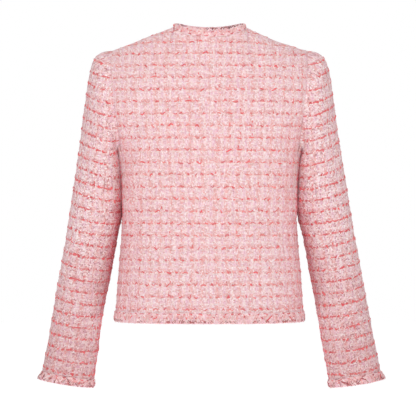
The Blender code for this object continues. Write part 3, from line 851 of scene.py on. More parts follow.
WANDER_ACROSS, WANDER_DOWN = 0.0050, 0.0056     # between the furthest places of one yarn, in metres
WANDER_OF_WARP = Blotches(55, 85, 2, 7.7)
WANDER_OF_WEFT = Blotches(90, 50, 2, 3.1)
SLUBS_A_METRE = 130
YARN_APART = 3.7            # between one yarn's slubs and the next one's, in the noise
WEFT_SLUBS_APART = 9.0      # between the slubs of warp and weft
TWILL, PLAIN = 0.55, 0.60   # how much of each weave is in the turns of warp and weft
SLUB_PULL = 4.2             # how much longer a thicker yarn stays on top
WARP_PULL = -0.42           # just below the coral pick the warp stays on top
BELOW_CORAL = (Range(0.06, 0.14), Range(0.46, 0.32))
WEFT_ON_TOP = Range(-0.12, 0.12)

TONE_OF_WARP = Blotches(480, 170, 1, 15.2)
TONE_OF_WEFT = Blotches(190, 430, 1, 12.6)
TONE_OF_BLOTCH, TONE_OF_FLOAT = 0.95, 0.50
TONE_TO_LIGHT = Range(0.78, 0.98, 0, 0.8)
TONE_TO_DARK = Range(0.62, 0.42, 0, 0.8)
FIBRES_OF_WARP = Blotches(1900, 420, 2, 9.4)
FIBRES_OF_WEFT = Blotches(420, 1900, 2, 6.1)
FIBRES_TO_LIGHT = Range(0.42, 0.66, 0, 0.22)

DASH_BLOTCHES = Blotches(105, 46, 1, 17.9)
DASH_LENGTH = Range(1.0, 1.06)
DASH_WIDTH = Range(0.088, 0.045)
# Painted shade: how far the gaps between floats are darkened by the dark colour.
GAP_TO_DARK = Range(0.50, 0.05, 0, 0.30)
# Painted shade where sleeve and body face each other and on the body's sides: its tones and its colour.
PAINTED_SHADE_TONES = Range(0.95, 0.40, 0.25, 1.3)
PAINTED_SHADE_COLOUR = srgb(255, 166, 180)
# The sleeves' darkening towards the cuffs multiplies by this colour.
DARKENED_COLOUR = srgb(236, 225, 225)
HEIGHT_OF_FLOAT, HEIGHT_OF_TONE, HEIGHT_OF_FIBRES, HEIGHT_OF_CORAL = 0.55, 0.5, 0.30, 0.35
print("one check has", len(WARP_CHART), "warp yarns and", len(WEFT_CHART), "picks")

# %% [markdown]
# In the lattice, warp and weft take turns on top, but loosely, so floats are of uneven length, and each
# has its own tone. One node group works this out from the weave coordinates, for body, sleeves and trims.
# Real yarns wander and have slubs, and a pattern without them would look printed.


# %% The tweed's node group
def add_sockets(group, takes, gives):
    """What a node group takes, with values to start from, and what it gives."""
    for name, kind, value in takes:
        socket = group.interface.new_socket(name, in_out="INPUT", socket_type=kind)
        if value is not None:
            socket.default_value = value
    for name, kind in gives:
        group.interface.new_socket(name, in_out="OUTPUT", socket_type=kind)


def make_tweed_group():
    """Weave coordinates in, colour and height of the tweed out."""
    tree = bpy.data.node_groups.new("tweed_weave", "ShaderNodeTree")
    add_sockets(tree, (
        ("Weave", "NodeSocketVector", None),
        ("Coral", "NodeSocketColor", srgb(235, 132, 132)),
        ("Light", "NodeSocketColor", srgb(250, 230, 232)),
        ("Dark", "NodeSocketColor", GREY),
        ("Speckle", "NodeSocketFloat", 1.0),
        ("Coral share", "NodeSocketFloat", 0.37),
        ("Tint", "NodeSocketColor", (1, 1, 1, 1)),
        ("Painted_shade", "NodeSocketFloat", 0.0),
        ("Darkened", "NodeSocketFloat", 0.0),
    ), (("Color", "NodeSocketColor"), ("Height", "NodeSocketFloat")))
    takes = tree.nodes.new("NodeGroupInput").outputs
    gives = tree.nodes.new("NodeGroupOutput").inputs
    place = takes["Weave"]

    # The yarns wander by a millimetre or two.
    split = tree.nodes.new("ShaderNodeSeparateXYZ")
    tree.links.new(place, split.inputs[0])
    drift_across = calculate(tree, "MULTIPLY_ADD", mottle(tree, place, WANDER_OF_WARP),
                             WANDER_ACROSS, -WANDER_ACROSS / 2)
    drift_down = calculate(tree, "MULTIPLY_ADD", mottle(tree, place, WANDER_OF_WEFT),
                           WANDER_DOWN, -WANDER_DOWN / 2)
    across = calculate(tree, "ADD", split.outputs[0], drift_across)
    down = calculate(tree, "ADD", split.outputs[1], drift_down)
    end = calculate(tree, "DIVIDE", across, END)
    pick = calculate(tree, "DIVIDE", down, PICK)
    end_number = calculate(tree, "FLOOR", calculate(tree, "ADD", end, 0.5))
    pick_number = calculate(tree, "FLOOR", calculate(tree, "ADD", pick, 0.5))

    # Each yarn has its own slubs, which run along it.
    along_warp = combined(tree, calculate(tree, "MULTIPLY", end_number, YARN_APART),
                          calculate(tree, "MULTIPLY", down, SLUBS_A_METRE))
    warp_slub = noise_at(tree, along_warp, 2)
    along_weft = combined(tree, calculate(tree, "MULTIPLY", across, SLUBS_A_METRE),
                          calculate(tree, "MULTIPLY", pick_number, YARN_APART), WEFT_SLUBS_APART)
    weft_slub = noise_at(tree, along_weft, 2)

    # Warp and weft take turns on top, but the thicker one stays up longer.
    warp = calculate(tree, "COSINE", calculate(tree, "MULTIPLY", end, math.pi))
    weft = calculate(tree, "COSINE", calculate(tree, "MULTIPLY", pick, math.pi))
    plain = calculate(tree, "MULTIPLY", warp, weft)
    diagonal = calculate(tree, "MULTIPLY", calculate(tree, "ADD", end, pick), math.pi / 2)
    twill = calculate(tree, "SINE", diagonal)
    turns = calculate(tree, "MULTIPLY_ADD", twill, TWILL, calculate(tree, "MULTIPLY", plain, PLAIN))
    thicker = calculate(tree, "SUBTRACT", weft_slub, warp_slub)
    row_turn = calculate(tree, "FRACT", calculate(tree, "DIVIDE", down, ROW_REPEAT))
    below_coral = calculate(tree, "MULTIPLY", *(eased(tree, row_turn, limits) for limits in BELOW_CORAL))
    turns = calculate(tree, "MULTIPLY_ADD", below_coral, WARP_PULL, turns)
    balance = calculate(tree, "MULTIPLY_ADD", thicker, SLUB_PULL, turns)
    weft_up = eased(tree, balance, WEFT_ON_TOP)
    roundness = between(tree, weft_up, calculate(tree, "ABSOLUTE", warp), calculate(tree, "ABSOLUTE", weft))

    warp_colour = charted(tree, calculate(tree, "DIVIDE", across, COLUMN_REPEAT), WARP_CHART)
    weft_colour = charted(tree, calculate(tree, "DIVIDE", down, ROW_REPEAT), WEFT_CHART)
    colour = blended(tree, weft_up, warp_colour, weft_colour)

    # Every float has a tone of its own, which runs on along its yarn, and fibres break it up.
    cell = tree.nodes.new("ShaderNodeTexWhiteNoise")
    cell.noise_dimensions = "3D"
    tree.links.new(combined(tree, end_number, pick_number, weft_up), cell.inputs["Vector"])
    blotches = between(tree, weft_up, mottle(tree, place, TONE_OF_WARP), mottle(tree, place, TONE_OF_WEFT))
    tone = calculate(tree, "MULTIPLY_ADD", blotches, TONE_OF_BLOTCH,
                     calculate(tree, "MULTIPLY", cell.outputs["Value"], TONE_OF_FLOAT))
    for limits, shade in ((TONE_TO_LIGHT, "Light"), (TONE_TO_DARK, "Dark")):
        turned = calculate(tree, "MULTIPLY", eased(tree, tone, limits), takes["Speckle"], clamp=True)
        colour = blended(tree, turned, colour, takes[shade])
    fibre = between(tree, weft_up, mottle(tree, place, FIBRES_OF_WARP), mottle(tree, place, FIBRES_OF_WEFT))

    # The coral pick shows in dashes.
    row = calculate(tree, "ADD", calculate(tree, "DIVIDE", down, ROW_REPEAT), 0.5)
    from_pick = calculate(tree, "ABSOLUTE", calculate(tree, "SUBTRACT", calculate(tree, "FRACT", row), 0.5))
    dash_noise = calculate(tree, "ADD", mottle(tree, place, DASH_BLOTCHES), takes["Coral share"])
    dashes = eased(tree, dash_noise, DASH_LENGTH)
    coral = calculate(tree, "MULTIPLY", eased(tree, from_pick, DASH_WIDTH), dashes)
    colour = blended(tree, coral, colour, takes["Coral"])
    colour = blended(tree, eased(tree, fibre, FIBRES_TO_LIGHT), colour, takes["Light"])

    # Between the floats the cloth lies deeper, and a painted shade darkens it there. After the tint come two
    # layers that the mesh asks for: a painted shade where sleeve and body face each other and on the body's
    # sides, strongest on the darker floats, and the sleeves' darkening towards the cuffs.
    colour = blended(tree, eased(tree, roundness, GAP_TO_DARK), colour, takes["Dark"], "MULTIPLY")
    colour = blended(tree, 1.0, colour, takes["Tint"], "MULTIPLY")
    # Painted shade, as strong as the mesh asks for it.
    painted_shade = calculate(tree, "MULTIPLY", takes["Painted_shade"], eased(tree, tone, PAINTED_SHADE_TONES), clamp=True)
    colour = blended(tree, painted_shade, colour, PAINTED_SHADE_COLOUR, "MULTIPLY")
    # The sleeves grow darker towards the cuffs.
    colour = blended(tree, takes["Darkened"], colour, DARKENED_COLOUR, "MULTIPLY")
    tree.links.new(colour, gives["Color"])

    height = calculate(tree, "MULTIPLY_ADD", roundness, HEIGHT_OF_FLOAT,
                       calculate(tree, "MULTIPLY", tone, HEIGHT_OF_TONE))
    height = calculate(tree, "MULTIPLY_ADD", fibre, HEIGHT_OF_FIBRES, height)
    height = calculate(tree, "MULTIPLY_ADD", coral, HEIGHT_OF_CORAL, height)
    tree.links.new(height, gives["Height"])
    return tree


tweed_group = make_tweed_group()
print("tweed group has", len(tweed_group.nodes), "nodes")

# %% [markdown]
# Every cloth finish is one Principled shader: rough, not metallic, with a little sheen for the nap.
# The group gives it colour, and height for a bump. A displaced mesh would show the relief truly, but at
# one point for each millimetre it would have millions of faces. Two numbers stored on the mesh tell the
# group where to paint shade, inside the arms and on the body's sides, and how much darker the sleeves grow
# towards the cuffs. The sleeves have coral and speckles that are a little stronger than the body's; their
# darker coral and speckles are partly painted shade, since sleeves and body are one tweed.

# %% Cloth finishes
RELIEF_DEPTH = 0.0012


def make_tweed(name, **values):
    """A tweed finish with its own values for the shared group."""
    material = bpy.data.materials.new(name)
    material.use_nodes = True
    tree = material.node_tree
    shader = tree.nodes["Principled BSDF"]
    weave = tree.nodes.new("ShaderNodeUVMap")
    weave.uv_map = "weave"
    tweed = tree.nodes.new("ShaderNodeGroup")
    tweed.node_tree = tweed_group
    tree.links.new(weave.outputs[0], tweed.inputs["Weave"])
    for darkening in ("Painted_shade", "Darkened"):
        layer = tree.nodes.new("ShaderNodeAttribute")
        layer.attribute_name = darkening.lower()
        tree.links.new(layer.outputs["Fac"], tweed.inputs[darkening])
    for field, value in values.items():
        tweed.inputs[field.capitalize().replace("_", " ")].default_value = value
    relief = tree.nodes.new("ShaderNodeBump")
    relief.inputs["Strength"].default_value = 0.8
    relief.inputs["Distance"].default_value = RELIEF_DEPTH
    tree.links.new(tweed.outputs["Height"], relief.inputs["Height"])
    tree.links.new(relief.outputs[0], shader.inputs["Normal"])
    tree.links.new(tweed.outputs["Color"], shader.inputs["Base Color"])
    shader.inputs["Roughness"].default_value = 0.95
    shader.inputs["Specular IOR Level"].default_value = 0.15
    shader.inputs["Sheen Weight"].default_value = 0.06
    shader.inputs["Sheen Roughness"].default_value = 0.6
    return material


body_tweed = make_tweed("body_tweed", speckle=1.12, tint=srgb(250, 253, 253))
# The sleeves' darker coral and darker speckles are partly painted shade: sleeves and body are one tweed.
sleeve_tweed = make_tweed("sleeve_tweed", coral=srgb(228, 104, 106), dark=srgb(194, 134, 135),
                          light=srgb(252, 236, 236), speckle=1.3, coral_share=0.51,
                          tint=srgb(250, 252, 253))
print("finishes:", body_tweed.name, sleeve_tweed.name)

# %% [markdown]
# A grid of points becomes a mesh with its weave coordinates as a UV map. The Solidify modifier then gives
# it the thickness of real tweed, inward, so that hem, neckline and cuffs show a cut edge. It is an
# easier way than a second grid for the inside, and it keeps the outer surface where it was laid.


# %% Cloth from grids
def grid_mesh(name, points, normals, uv):
    """A mesh from a grid, with faces turned the way of its normals."""
    columns, rows = points.shape[:2]
    index = np.arange(columns * rows).reshape(columns, rows)
    faces = np.stack([index[:-1, :-1], index[1:, :-1], index[1:, 1:], index[:-1, 1:]], axis=-1)
    middle = (columns // 2, rows // 2)
    first = points[middle[0] + 1, middle[1]] - points[middle]
    second = points[middle[0], middle[1] + 1] - points[middle]
    if np.dot(np.cross(first, second), normals[middle]) < 0:
        faces = faces[..., ::-1]
    faces = faces.reshape(-1, 4)
    mesh = bpy.data.meshes.new(name)
    mesh.from_pydata(points.reshape(-1, 3).tolist(), [], faces.tolist())
    layer = mesh.uv_layers.new(name="weave")
    layer.data.foreach_set("uv", uv.reshape(-1, 2)[faces.reshape(-1)].astype(np.float32).ravel())
    mesh.shade_smooth()
    return mesh


def add_piece(name, mesh, material):
    """An object of the jacket, which moves with its only body."""
    mesh.materials.append(material)
    piece = bpy.data.objects.new(name, mesh)
    bpy.context.scene.collection.objects.link(piece)
    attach(piece, "root")
    return piece


def thicken(piece, thickness):
    """Give the piece a wall, inward from its outer surface."""
    cloth = piece.modifiers.new("cloth thickness", "SOLIDIFY")
    cloth.thickness = thickness
    cloth.offset = -1.0


def cut_area(panel):
    """Area of the flat piece, from its weave coordinates."""
    corners = np.stack([panel.across, panel.down], axis=-1)
    one, two = corners[1:, 1:] - corners[:-1, :-1], corners[:-1, 1:] - corners[1:, :-1]
    return float(np.abs(one[..., 0] * two[..., 1] - one[..., 1] * two[..., 0]).sum() / 2)


print("cloth tools ready, walls of", WALL * 1000, "mm")

# %% [markdown]
# Inside the arms and on the body's sides, where they face each other or turn away, the cloth gets a painted
# shade. Each point of the cloth stores how strong it is, and the shader reads it: a share that depends on the
# place costs nothing, while a second material would leave a hard line. Inside the arm it is almost at full
# strength, on the body's sides a third of that, and little in the hollow right under the armhole, where real
# shade is already deep. The sleeves also grow a little darker towards the cuffs.

# %% Make the pieces of cloth
# Painted shade inside the arms and on the body's sides: where it starts and how strong it is.
Painted_shade = namedtuple("Painted_shade", "facing spread start_z length share")
BODY_SIDES = Painted_shade(facing=0.42, spread=0.50, start_z=-0.13, length=0.08, share=0.34)
FACES_THE_ARM = 0.92        # a body's side turned this far faces the arm
ARM_LEAVES_Z = -0.34        # and it does so above this level
INNER_ARM = Painted_shade(facing=0.78, spread=0.22, start_z=-0.50, length=0.10, share=0.55)
WIDER, WIDER_SPREAD = 0.16, 0.14                # how much wider the painted shade spreads above the wrist
HOLLOW = Painted_shade(facing=0, spread=1, start_z=-0.285, length=0.05, share=0.15)
RIGHT_ARM_SHARE = 0.7
# The sleeves darken towards the cuffs from this level, over this length.
DARKENED_START_Z, DARKENED_LENGTH = -0.36, 0.24


def body_painted_shade(panel):
    """How much painted shade the body's sides get, where they turn sideways."""
    z = panel.points[..., 2]
    sideways = ramp(np.abs(panel.normals[..., 0]), BODY_SIDES.facing, BODY_SIDES.spread)
    faces_arm = (sideways > FACES_THE_ARM) & (z > ARM_LEAVES_Z)
    low = ramp(-z, -BODY_SIDES.start_z, BODY_SIDES.length)
    return np.where(faces_arm, 0, sideways * low * BODY_SIDES.share)


def arm_painted_shade(panel, is_right):
    """How much painted shade the inside of the arm gets, where it faces the body."""
    z = panel.points[..., 2]
    inward = panel.normals[..., 0] * (1 if is_right else -1)
    high = ramp(z, INNER_ARM.start_z, INNER_ARM.length)
    share = soft_step(ramp(inward, INNER_ARM.facing - WIDER * high, INNER_ARM.spread + WIDER_SPREAD * high))
    amount = INNER_ARM.share + (1 - INNER_ARM.share) * high
    spared = HOLLOW.share + (1 - HOLLOW.share) * ramp(-z, -HOLLOW.start_z, HOLLOW.length)
    return share * amount * spared * (RIGHT_ARM_SHARE if is_right else 1.0)


def darkening_shares(name, panel):
    """The shares of painted shade and of the sleeves' darkening towards the cuffs, for every point."""
    none = np.zeros(panel.across.shape)
    if "sleeve" not in name:
        return {"painted_shade": body_painted_shade(panel), "darkened": none}
    painted_shade = none if "upper" in name else arm_painted_shade(panel, name.endswith("right"))
    return {"painted_shade": painted_shade, "darkened": ramp(-panel.points[..., 2], -DARKENED_START_Z, DARKENED_LENGTH)}


for name, panel in panels.items():
    uv = np.stack([panel.across, panel.down], axis=-1)
    finish = sleeve_tweed if "sleeve" in name else body_tweed
    mesh = grid_mesh("cloth_" + name, panel.points, panel.normals, uv)
    piece = add_piece("cloth_" + name, mesh, finish)
    # Painted shade, and the sleeves' darkening towards the cuffs, stored on each point.
    for darkening, share in darkening_shares(name, panel).items():
        layer = piece.data.attributes.new(darkening, "FLOAT", "POINT")
        layer.data.foreach_set("value", share.astype(np.float32).ravel())
    thicken(piece, WALL)
    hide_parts(name)
    print(name, "is cut", round(np.ptp(panel.across) * 1000), "by", round(np.ptp(panel.down) * 1000), "mm,",
          round(cut_area(panel) * 1e4), "square cm")

# %% [markdown]
# The thickest yarns stand clear of the weave, so they are made as small tubes that lie half sunk on the
# cloth. Each piece of cloth is read at even weave coordinates first, and any yarn can then be laid by
# saying where it runs across and down. Its ends dive under the surface, as a float's do.

# %% Cloth read at even coordinates
FIELD_STEP = 0.0025
PAST_A_CELL = 0.01          # how far past a cell of the field a yarn may reach, as a share
Field = namedtuple("Field", "across down step values")     # values: point and normal at even coordinates


def field_of(panel, step=FIELD_STEP):
    """The cloth at even weave coordinates. Where there is no cloth, it has nan."""
    downs = np.arange(panel.down.min(), panel.down.max(), step)
    acrosses = np.arange(panel.across.min(), panel.across.max(), step)
    values = np.concatenate([panel.points, panel.normals, panel.across[..., None]], axis=-1)
    columns = np.stack([np.stack([np.interp(downs, down, value[:, k], left=np.nan, right=np.nan)
                                  for k in range(7)], axis=-1)
                        for down, value in zip(panel.down, values)])
    even = np.full((len(acrosses), len(downs), 6), np.nan)
    for j in range(len(downs)):
        row = columns[~np.isnan(columns[:, j, 6]), j]
        if len(row) < 2:
            continue
        row = row[np.argsort(row[:, 6])]
        for k in range(6):
            even[:, j, k] = np.interp(acrosses, row[:, 6], row[:, k], left=np.nan, right=np.nan)
    return Field(acrosses[0], downs[0], step, even)


def place_on(field, across, down):
    """Points and normals of the cloth at these weave coordinates."""
    a, d = (across - field.across) / field.step, (down - field.down) / field.step
    i = np.clip(np.floor(a).astype(int), 0, field.values.shape[0] - 2)
    j = np.clip(np.floor(d).astype(int), 0, field.values.shape[1] - 2)
    s, t = (a - i)[..., None], (d - j)[..., None]
    outside = (s < -PAST_A_CELL) | (s > 1 + PAST_A_CELL) | (t < -PAST_A_CELL) | (t > 1 + PAST_A_CELL)
    v = field.values
    above = v[i, j] * (1 - s) + v[i + 1, j] * s
    below = v[i, j + 1] * (1 - s) + v[i + 1, j + 1] * s
    both = np.where(outside, np.nan, above * (1 - t) + below * t)
    return both[..., :3], both[..., 3:] / np.linalg.norm(both[..., 3:], axis=-1, keepdims=True)


fields = {name: field_of(panel) for name, panel in panels.items()}
print("the cloth is read at", sum(field.values[..., 0].size for field in fields.values()), "places")

# %% [markdown]
# A yarn is a row of small rings of points, half sunk in the cloth. All yarns of a piece go into one mesh:
# thousands of curve objects would be slow, and each ring's colour can be stored on the mesh itself. The
# coordinates along and round a yarn are kept too, for the twist in its finish.

# %% Yarns as tubes
TIP = 0.3                   # thickness near a yarn's end, as a share
LAST_RING = 0.4             # and that of its last ring, as a share of the tip
DIVE = 0.9                  # how far an end sinks, in radii
FIRST_SIDE = 0.3            # turns the rings, so that no flat side faces up
GIRTH = 0.006               # length of the coordinate round a yarn
Tubes = namedtuple("Tubes", "rings dye")


def lay_yarn(place, across, down, radius, dye, sides=5, lift=0.35, flat=0.75):
    """Yarns through these coordinates, one to each row of the arrays, as rings of points."""
    points, normals = place(across, down)
    kept = ~np.isnan(points).any(axis=(1, 2))
    points, normals, radius, dye = points[kept], normals[kept], radius[kept][:, None], dye[kept]
    share = np.linspace(-1, 1, across.shape[1])
    body = np.sqrt(np.maximum(1 - np.abs(share) ** 3, 0)) * (1 - TIP) + TIP
    body[0] = body[-1] = TIP * LAST_RING
    thick = radius * body[None, :]
    rise = thick * lift - radius * DIVE * (np.abs(share) ** 6)[None, :]
    run = np.gradient(points, axis=1)
    run /= np.linalg.norm(run, axis=-1, keepdims=True)
    aside = np.cross(normals, run)
    aside /= np.linalg.norm(aside, axis=-1, keepdims=True)
    angle = np.arange(sides) * 2 * math.pi / sides + FIRST_SIDE
    rings = points[:, :, None] + normals[:, :, None] * rise[..., None, None]
    rings = rings + aside[:, :, None] * (thick[..., None] * np.cos(angle))[..., None]
    rings = rings + normals[:, :, None] * (thick[..., None] * flat * np.sin(angle))[..., None]
    return Tubes(rings, dye)


def tube_mesh(name, batches):
    """One mesh from batches of tubes, with their dyes and with coordinates along and round each yarn."""
    vertices, faces, dyes, uvs, start = [], [], [], [], 0
    for rings, dye in batches:
        count, steps, sides = rings.shape[:3]
        if not count:
            continue
        index = start + np.arange(count * steps * sides).reshape(count, steps, sides)
        following = np.roll(index, -1, axis=2)
        quads = np.stack([index[:, :-1], following[:, :-1], following[:, 1:], index[:, 1:]], axis=-1)
        length = np.linalg.norm(np.diff(rings.mean(axis=2), axis=1), axis=-1).cumsum(axis=1)
        along = np.concatenate([np.zeros((count, 1)), length], axis=1)
        corner_along = np.stack([along[:, :-1], along[:, :-1], along[:, 1:], along[:, 1:]], axis=-1)
        corner_along = np.broadcast_to(corner_along[:, :, None], quads.shape)
        turn = np.arange(sides) / sides
        corner_turn = np.stack([turn, turn + 1 / sides, turn + 1 / sides, turn], axis=-1)
        corner_turn = np.broadcast_to(corner_turn[None, None], quads.shape)
        uvs.append(np.stack([corner_along, corner_turn * GIRTH], axis=-1).reshape(-1, 2))
        vertices.append(rings.reshape(-1, 3))
        faces.append(quads.reshape(-1, 4))
        dyes.append(np.repeat(dye, steps * sides, axis=0))
        start += count * steps * sides
    vertices, faces = np.concatenate(vertices), np.concatenate(faces)
    mesh = bpy.data.meshes.new(name)
    mesh.vertices.add(len(vertices))
    mesh.vertices.foreach_set("co", vertices.astype(np.float32).ravel())
    mesh.loops.add(faces.size)
    mesh.loops.foreach_set("vertex_index", faces.astype(np.int32).ravel())
    mesh.polygons.add(len(faces))
    mesh.polygons.foreach_set("loop_start", np.arange(0, faces.size, 4, dtype=np.int32))
    mesh.update(calc_edges=True)
    mesh.uv_layers.new(name="yarn").data.foreach_set("uv", np.concatenate(uvs).astype(np.float32).ravel())
    layer = mesh.color_attributes.new("dye", "FLOAT_COLOR", "POINT")
    layer.data.foreach_set("color", np.concatenate(dyes).astype(np.float32).ravel())
    mesh.shade_smooth()
    return mesh


print("yarns of 5 sides, thinned to", TIP, "at their ends")

# %% [markdown]
# Seen close, a thick yarn is two plies twisted together, with a halo of fine fibres. A sine wave that runs
# slantwise round the tube gives the plies, and noise breaks them up. The dye comes from the mesh, so one
# material serves every colour of yarn on the body, the sleeves and the frayed bands.


# %% The yarn's finish
TWISTS_A_METRE = 900.0
FULL_TURN = 6.28
FUZZ = Blotches(900, 1400, 2, 2.2)
FUZZ_SHARE, PLY_SHARE = 0.9, 0.25
TONE_TO_SHADE = Range(0.35, 0.75, 0.26, 0)
TONE_TO_WHITE = Range(0.62, 0.85, 0, 0.35)
YARN_SHADE = (0.30, 0.10, 0.10, 1)


def make_yarn_group():
    """A colour and coordinates along the yarn in, its twisted fibres out."""
    tree = bpy.data.node_groups.new("yarn_fibres", "ShaderNodeTree")
    add_sockets(tree, (("Dye", "NodeSocketColor", SALMON), ("Yarn", "NodeSocketVector", None),
                       ("Twist", "NodeSocketFloat", TWISTS_A_METRE)),
                (("Color", "NodeSocketColor"), ("Height", "NodeSocketFloat")))
    takes = tree.nodes.new("NodeGroupInput").outputs
    gives = tree.nodes.new("NodeGroupOutput").inputs
    split = tree.nodes.new("ShaderNodeSeparateXYZ")
    tree.links.new(takes["Yarn"], split.inputs[0])
    slanted = calculate(tree, "MULTIPLY_ADD", split.outputs[1], 1.0, split.outputs[0])
    turned = calculate(tree, "MULTIPLY", slanted, calculate(tree, "MULTIPLY", takes["Twist"], FULL_TURN))
    ply = calculate(tree, "MULTIPLY_ADD", calculate(tree, "SINE", turned), 0.5, 0.5)
    fuzz = mottle(tree, takes["Yarn"], FUZZ)
    tone = calculate(tree, "MULTIPLY_ADD", fuzz, FUZZ_SHARE, calculate(tree, "MULTIPLY", ply, PLY_SHARE))
    # The dye turns darker and lighter with the tone: with the fibre noise this is the yarn's own uneven
    # colour, with the plies it is painted shade in their grooves and painted highlight on their crests.
    colour = blended(tree, eased(tree, tone, TONE_TO_SHADE), takes["Dye"], YARN_SHADE)
    colour = blended(tree, eased(tree, tone, TONE_TO_WHITE), colour, WHITE)
    tree.links.new(colour, gives["Color"])
    tree.links.new(tone, gives["Height"])
    return tree


yarn_group = make_yarn_group()
yarn_finish = bpy.data.materials.new("yarn")
yarn_finish.use_nodes = True
yarn_tree = yarn_finish.node_tree
yarn_shader = yarn_tree.nodes["Principled BSDF"]
dye_node = yarn_tree.nodes.new("ShaderNodeVertexColor")
dye_node.layer_name = "dye"
run_node = yarn_tree.nodes.new("ShaderNodeUVMap")
run_node.uv_map = "yarn"
fibres = yarn_tree.nodes.new("ShaderNodeGroup")
fibres.node_tree = yarn_group
yarn_relief = yarn_tree.nodes.new("ShaderNodeBump")
yarn_relief.inputs["Strength"].default_value = 0.7
yarn_relief.inputs["Distance"].default_value = 0.0005
yarn_tree.links.new(dye_node.outputs["Color"], fibres.inputs["Dye"])
yarn_tree.links.new(run_node.outputs[0], fibres.inputs["Yarn"])
yarn_tree.links.new(fibres.outputs["Color"], yarn_shader.inputs["Base Color"])
yarn_tree.links.new(fibres.outputs["Height"], yarn_relief.inputs["Height"])
yarn_tree.links.new(yarn_relief.outputs[0], yarn_shader.inputs["Normal"])
yarn_shader.inputs["Roughness"].default_value = 0.92
yarn_shader.inputs["Specular IOR Level"].default_value = 0.2
yarn_shader.inputs["Sheen Weight"].default_value = 0.10
yarn_shader.inputs["Sheen Roughness"].default_value = 0.5
print("finish:", yarn_finish.name)

# %% [markdown]
# Along every coral row lie wavy dashes of uneven length, and thin cream floats lie just below it. A bump
# alone would leave the outline smooth, and it is the small shadow beside each yarn that makes tweed look
# thick. Every random choice comes from a seeded generator, so the jacket is the same each time.

# %% Ways to lay dashes
Dashes = namedtuple("Dashes", "length gap thick sway sides lift", defaults=(5, 0.35))
TONE_SPREAD = 0.10          # how much lighter or darker than its dye a yarn may be
DASH_POINTS = 8
DASH_WAVES = (0.5, 1.3)
ROW_STRAY = 0.6             # how far a whole dash lies off its row, as a share of its sway
LEAST_SWAY = 0.3
THINNED_SHARE = 0.55        # how many dashes are left where they are thinned out


def dashes_along(rng, first, last, length, gap):
    """Starts and lengths of dashes between two places, with uneven gaps."""
    starts, lengths = [], []
    place = first + rng.uniform(0, gap[1])
    while place < last:
        starts.append(place)
        lengths.append(rng.uniform(*length))
        place += lengths[-1] + rng.uniform(*gap)
    return starts, lengths


def dyed(rng, dyes, count):
    """A dye for each yarn, picked from these, some lighter and some darker."""
    picked = np.array(dyes)[rng.integers(0, len(dyes), count)]
    tones = rng.uniform(1 - TONE_SPREAD, 1 + TONE_SPREAD, (count, 1))
    return np.concatenate([picked[:, :3] * tones, picked[:, 3:]], axis=1)


def waving(rng, count, share, waves):
    """Waves along each yarn, from -1 to 1, each with its own number of them and its own start."""
    turns = share * rng.uniform(*waves, (count, 1))
    return np.sin((turns + rng.uniform(0, 1, (count, 1))) * 2 * math.pi)


def lines_within(low, high, repeat, offset=0.0):
    """Every line of a repeat between two levels."""
    first, last = math.ceil((low - offset) / repeat), math.floor((high - offset) / repeat)
    return np.arange(first, last + 1) * repeat + offset


def row_yarns(rng, place, panel, dashes, dyes, below=0.0, thinned_to=-math.inf):
    """Dashes along each row of the check, or this far below it, and fewer of them down to one level."""
    found = [(line, start, size)
             for line in lines_within(panel.down.min(), panel.down.max(), ROW_REPEAT, below)
             for start, size in zip(*dashes_along(rng, panel.across.min(), panel.across.max(),
                                                  dashes.length, dashes.gap))
             if line > thinned_to or rng.uniform() < THINNED_SHARE]
    line, start, size = (np.array(part)[:, None] for part in zip(*found))
    count, share = len(line), np.linspace(0, 1, DASH_POINTS)[None, :]
    sway = waving(rng, count, share, DASH_WAVES)
    down = line + rng.uniform(-dashes.sway, dashes.sway, (count, 1)) * ROW_STRAY
    down = down + sway * rng.uniform(LEAST_SWAY, 1, (count, 1)) * dashes.sway
    return lay_yarn(place, start + size * share, down, rng.uniform(*dashes.thick, count),
                    dyed(rng, dyes, count), dashes.sides, lift=dashes.lift)


rows = lines_within(panels["back_left"].down.min(), panels["back_left"].down.max(), ROW_REPEAT)
print("the left back has", len(rows), "coral rows")

# %% [markdown]
# Now and then a slub stands upright just above a row, and small pale and greyish nubs are strewn all over.
# Where sleeve and body face each other, crimson nubs are laid as well, as painted shade: they stand for the
# reddish shade in the groove. They could be spots of colour in the tweed, but a spot casts no shadow. Each
# kind chooses its places and its lean in its own way.

# %% Ways to lay slubs and nubs
Nubs = namedtuple("Nubs", "length thick dyes")
SLUB_POINTS = 6
SLUB_ABOVE_ROW = 0.0045
SLUB_STRAY = 0.003
SLUB_BEND = 0.0016
NUB_SIDES = 4
NUB_POINTS, UPRIGHT_NUBS, NUB_LEAN = 4, 0.45, 0.3
INNER_NUB_POINTS, UPRIGHT_INNER_NUBS, INNER_NUB_LEAN = 5, 0.4, 0.6
FACES_BEHIND = 0.02         # inner nubs are laid only where the cloth faces at least this much behind
HOLLOW_Z = -0.30            # above it they are laid only where it is turned further inward,
HOLLOW_SHARE = 0.4          # by this share of what is left


def upright_slubs(rng, place, panel, share_of_checks, slubs):
    """Short yarns along the warp, just above the rows."""
    down, across = np.meshgrid(lines_within(panel.down.min(), panel.down.max(), ROW_REPEAT),
                               lines_within(panel.across.min(), panel.across.max(), COLUMN_REPEAT))
    chosen = rng.uniform(size=down.shape) < share_of_checks
    down, across = down[chosen][:, None], across[chosen][:, None]
    count, share = len(down), np.linspace(-0.5, 0.5, SLUB_POINTS)[None, :]
    down = down - SLUB_ABOVE_ROW + rng.uniform(-SLUB_STRAY, SLUB_STRAY, (count, 1))
    down = down + share * rng.uniform(*slubs.length, (count, 1))
    bend = rng.uniform(-SLUB_BEND, SLUB_BEND, (count, 1)) * share ** 2 * 4
    across = across + rng.uniform(-SLUB_STRAY, SLUB_STRAY, (count, 1)) + bend
    return lay_yarn(place, across, down, rng.uniform(*slubs.thick, count), dyed(rng, slubs.dyes, count))


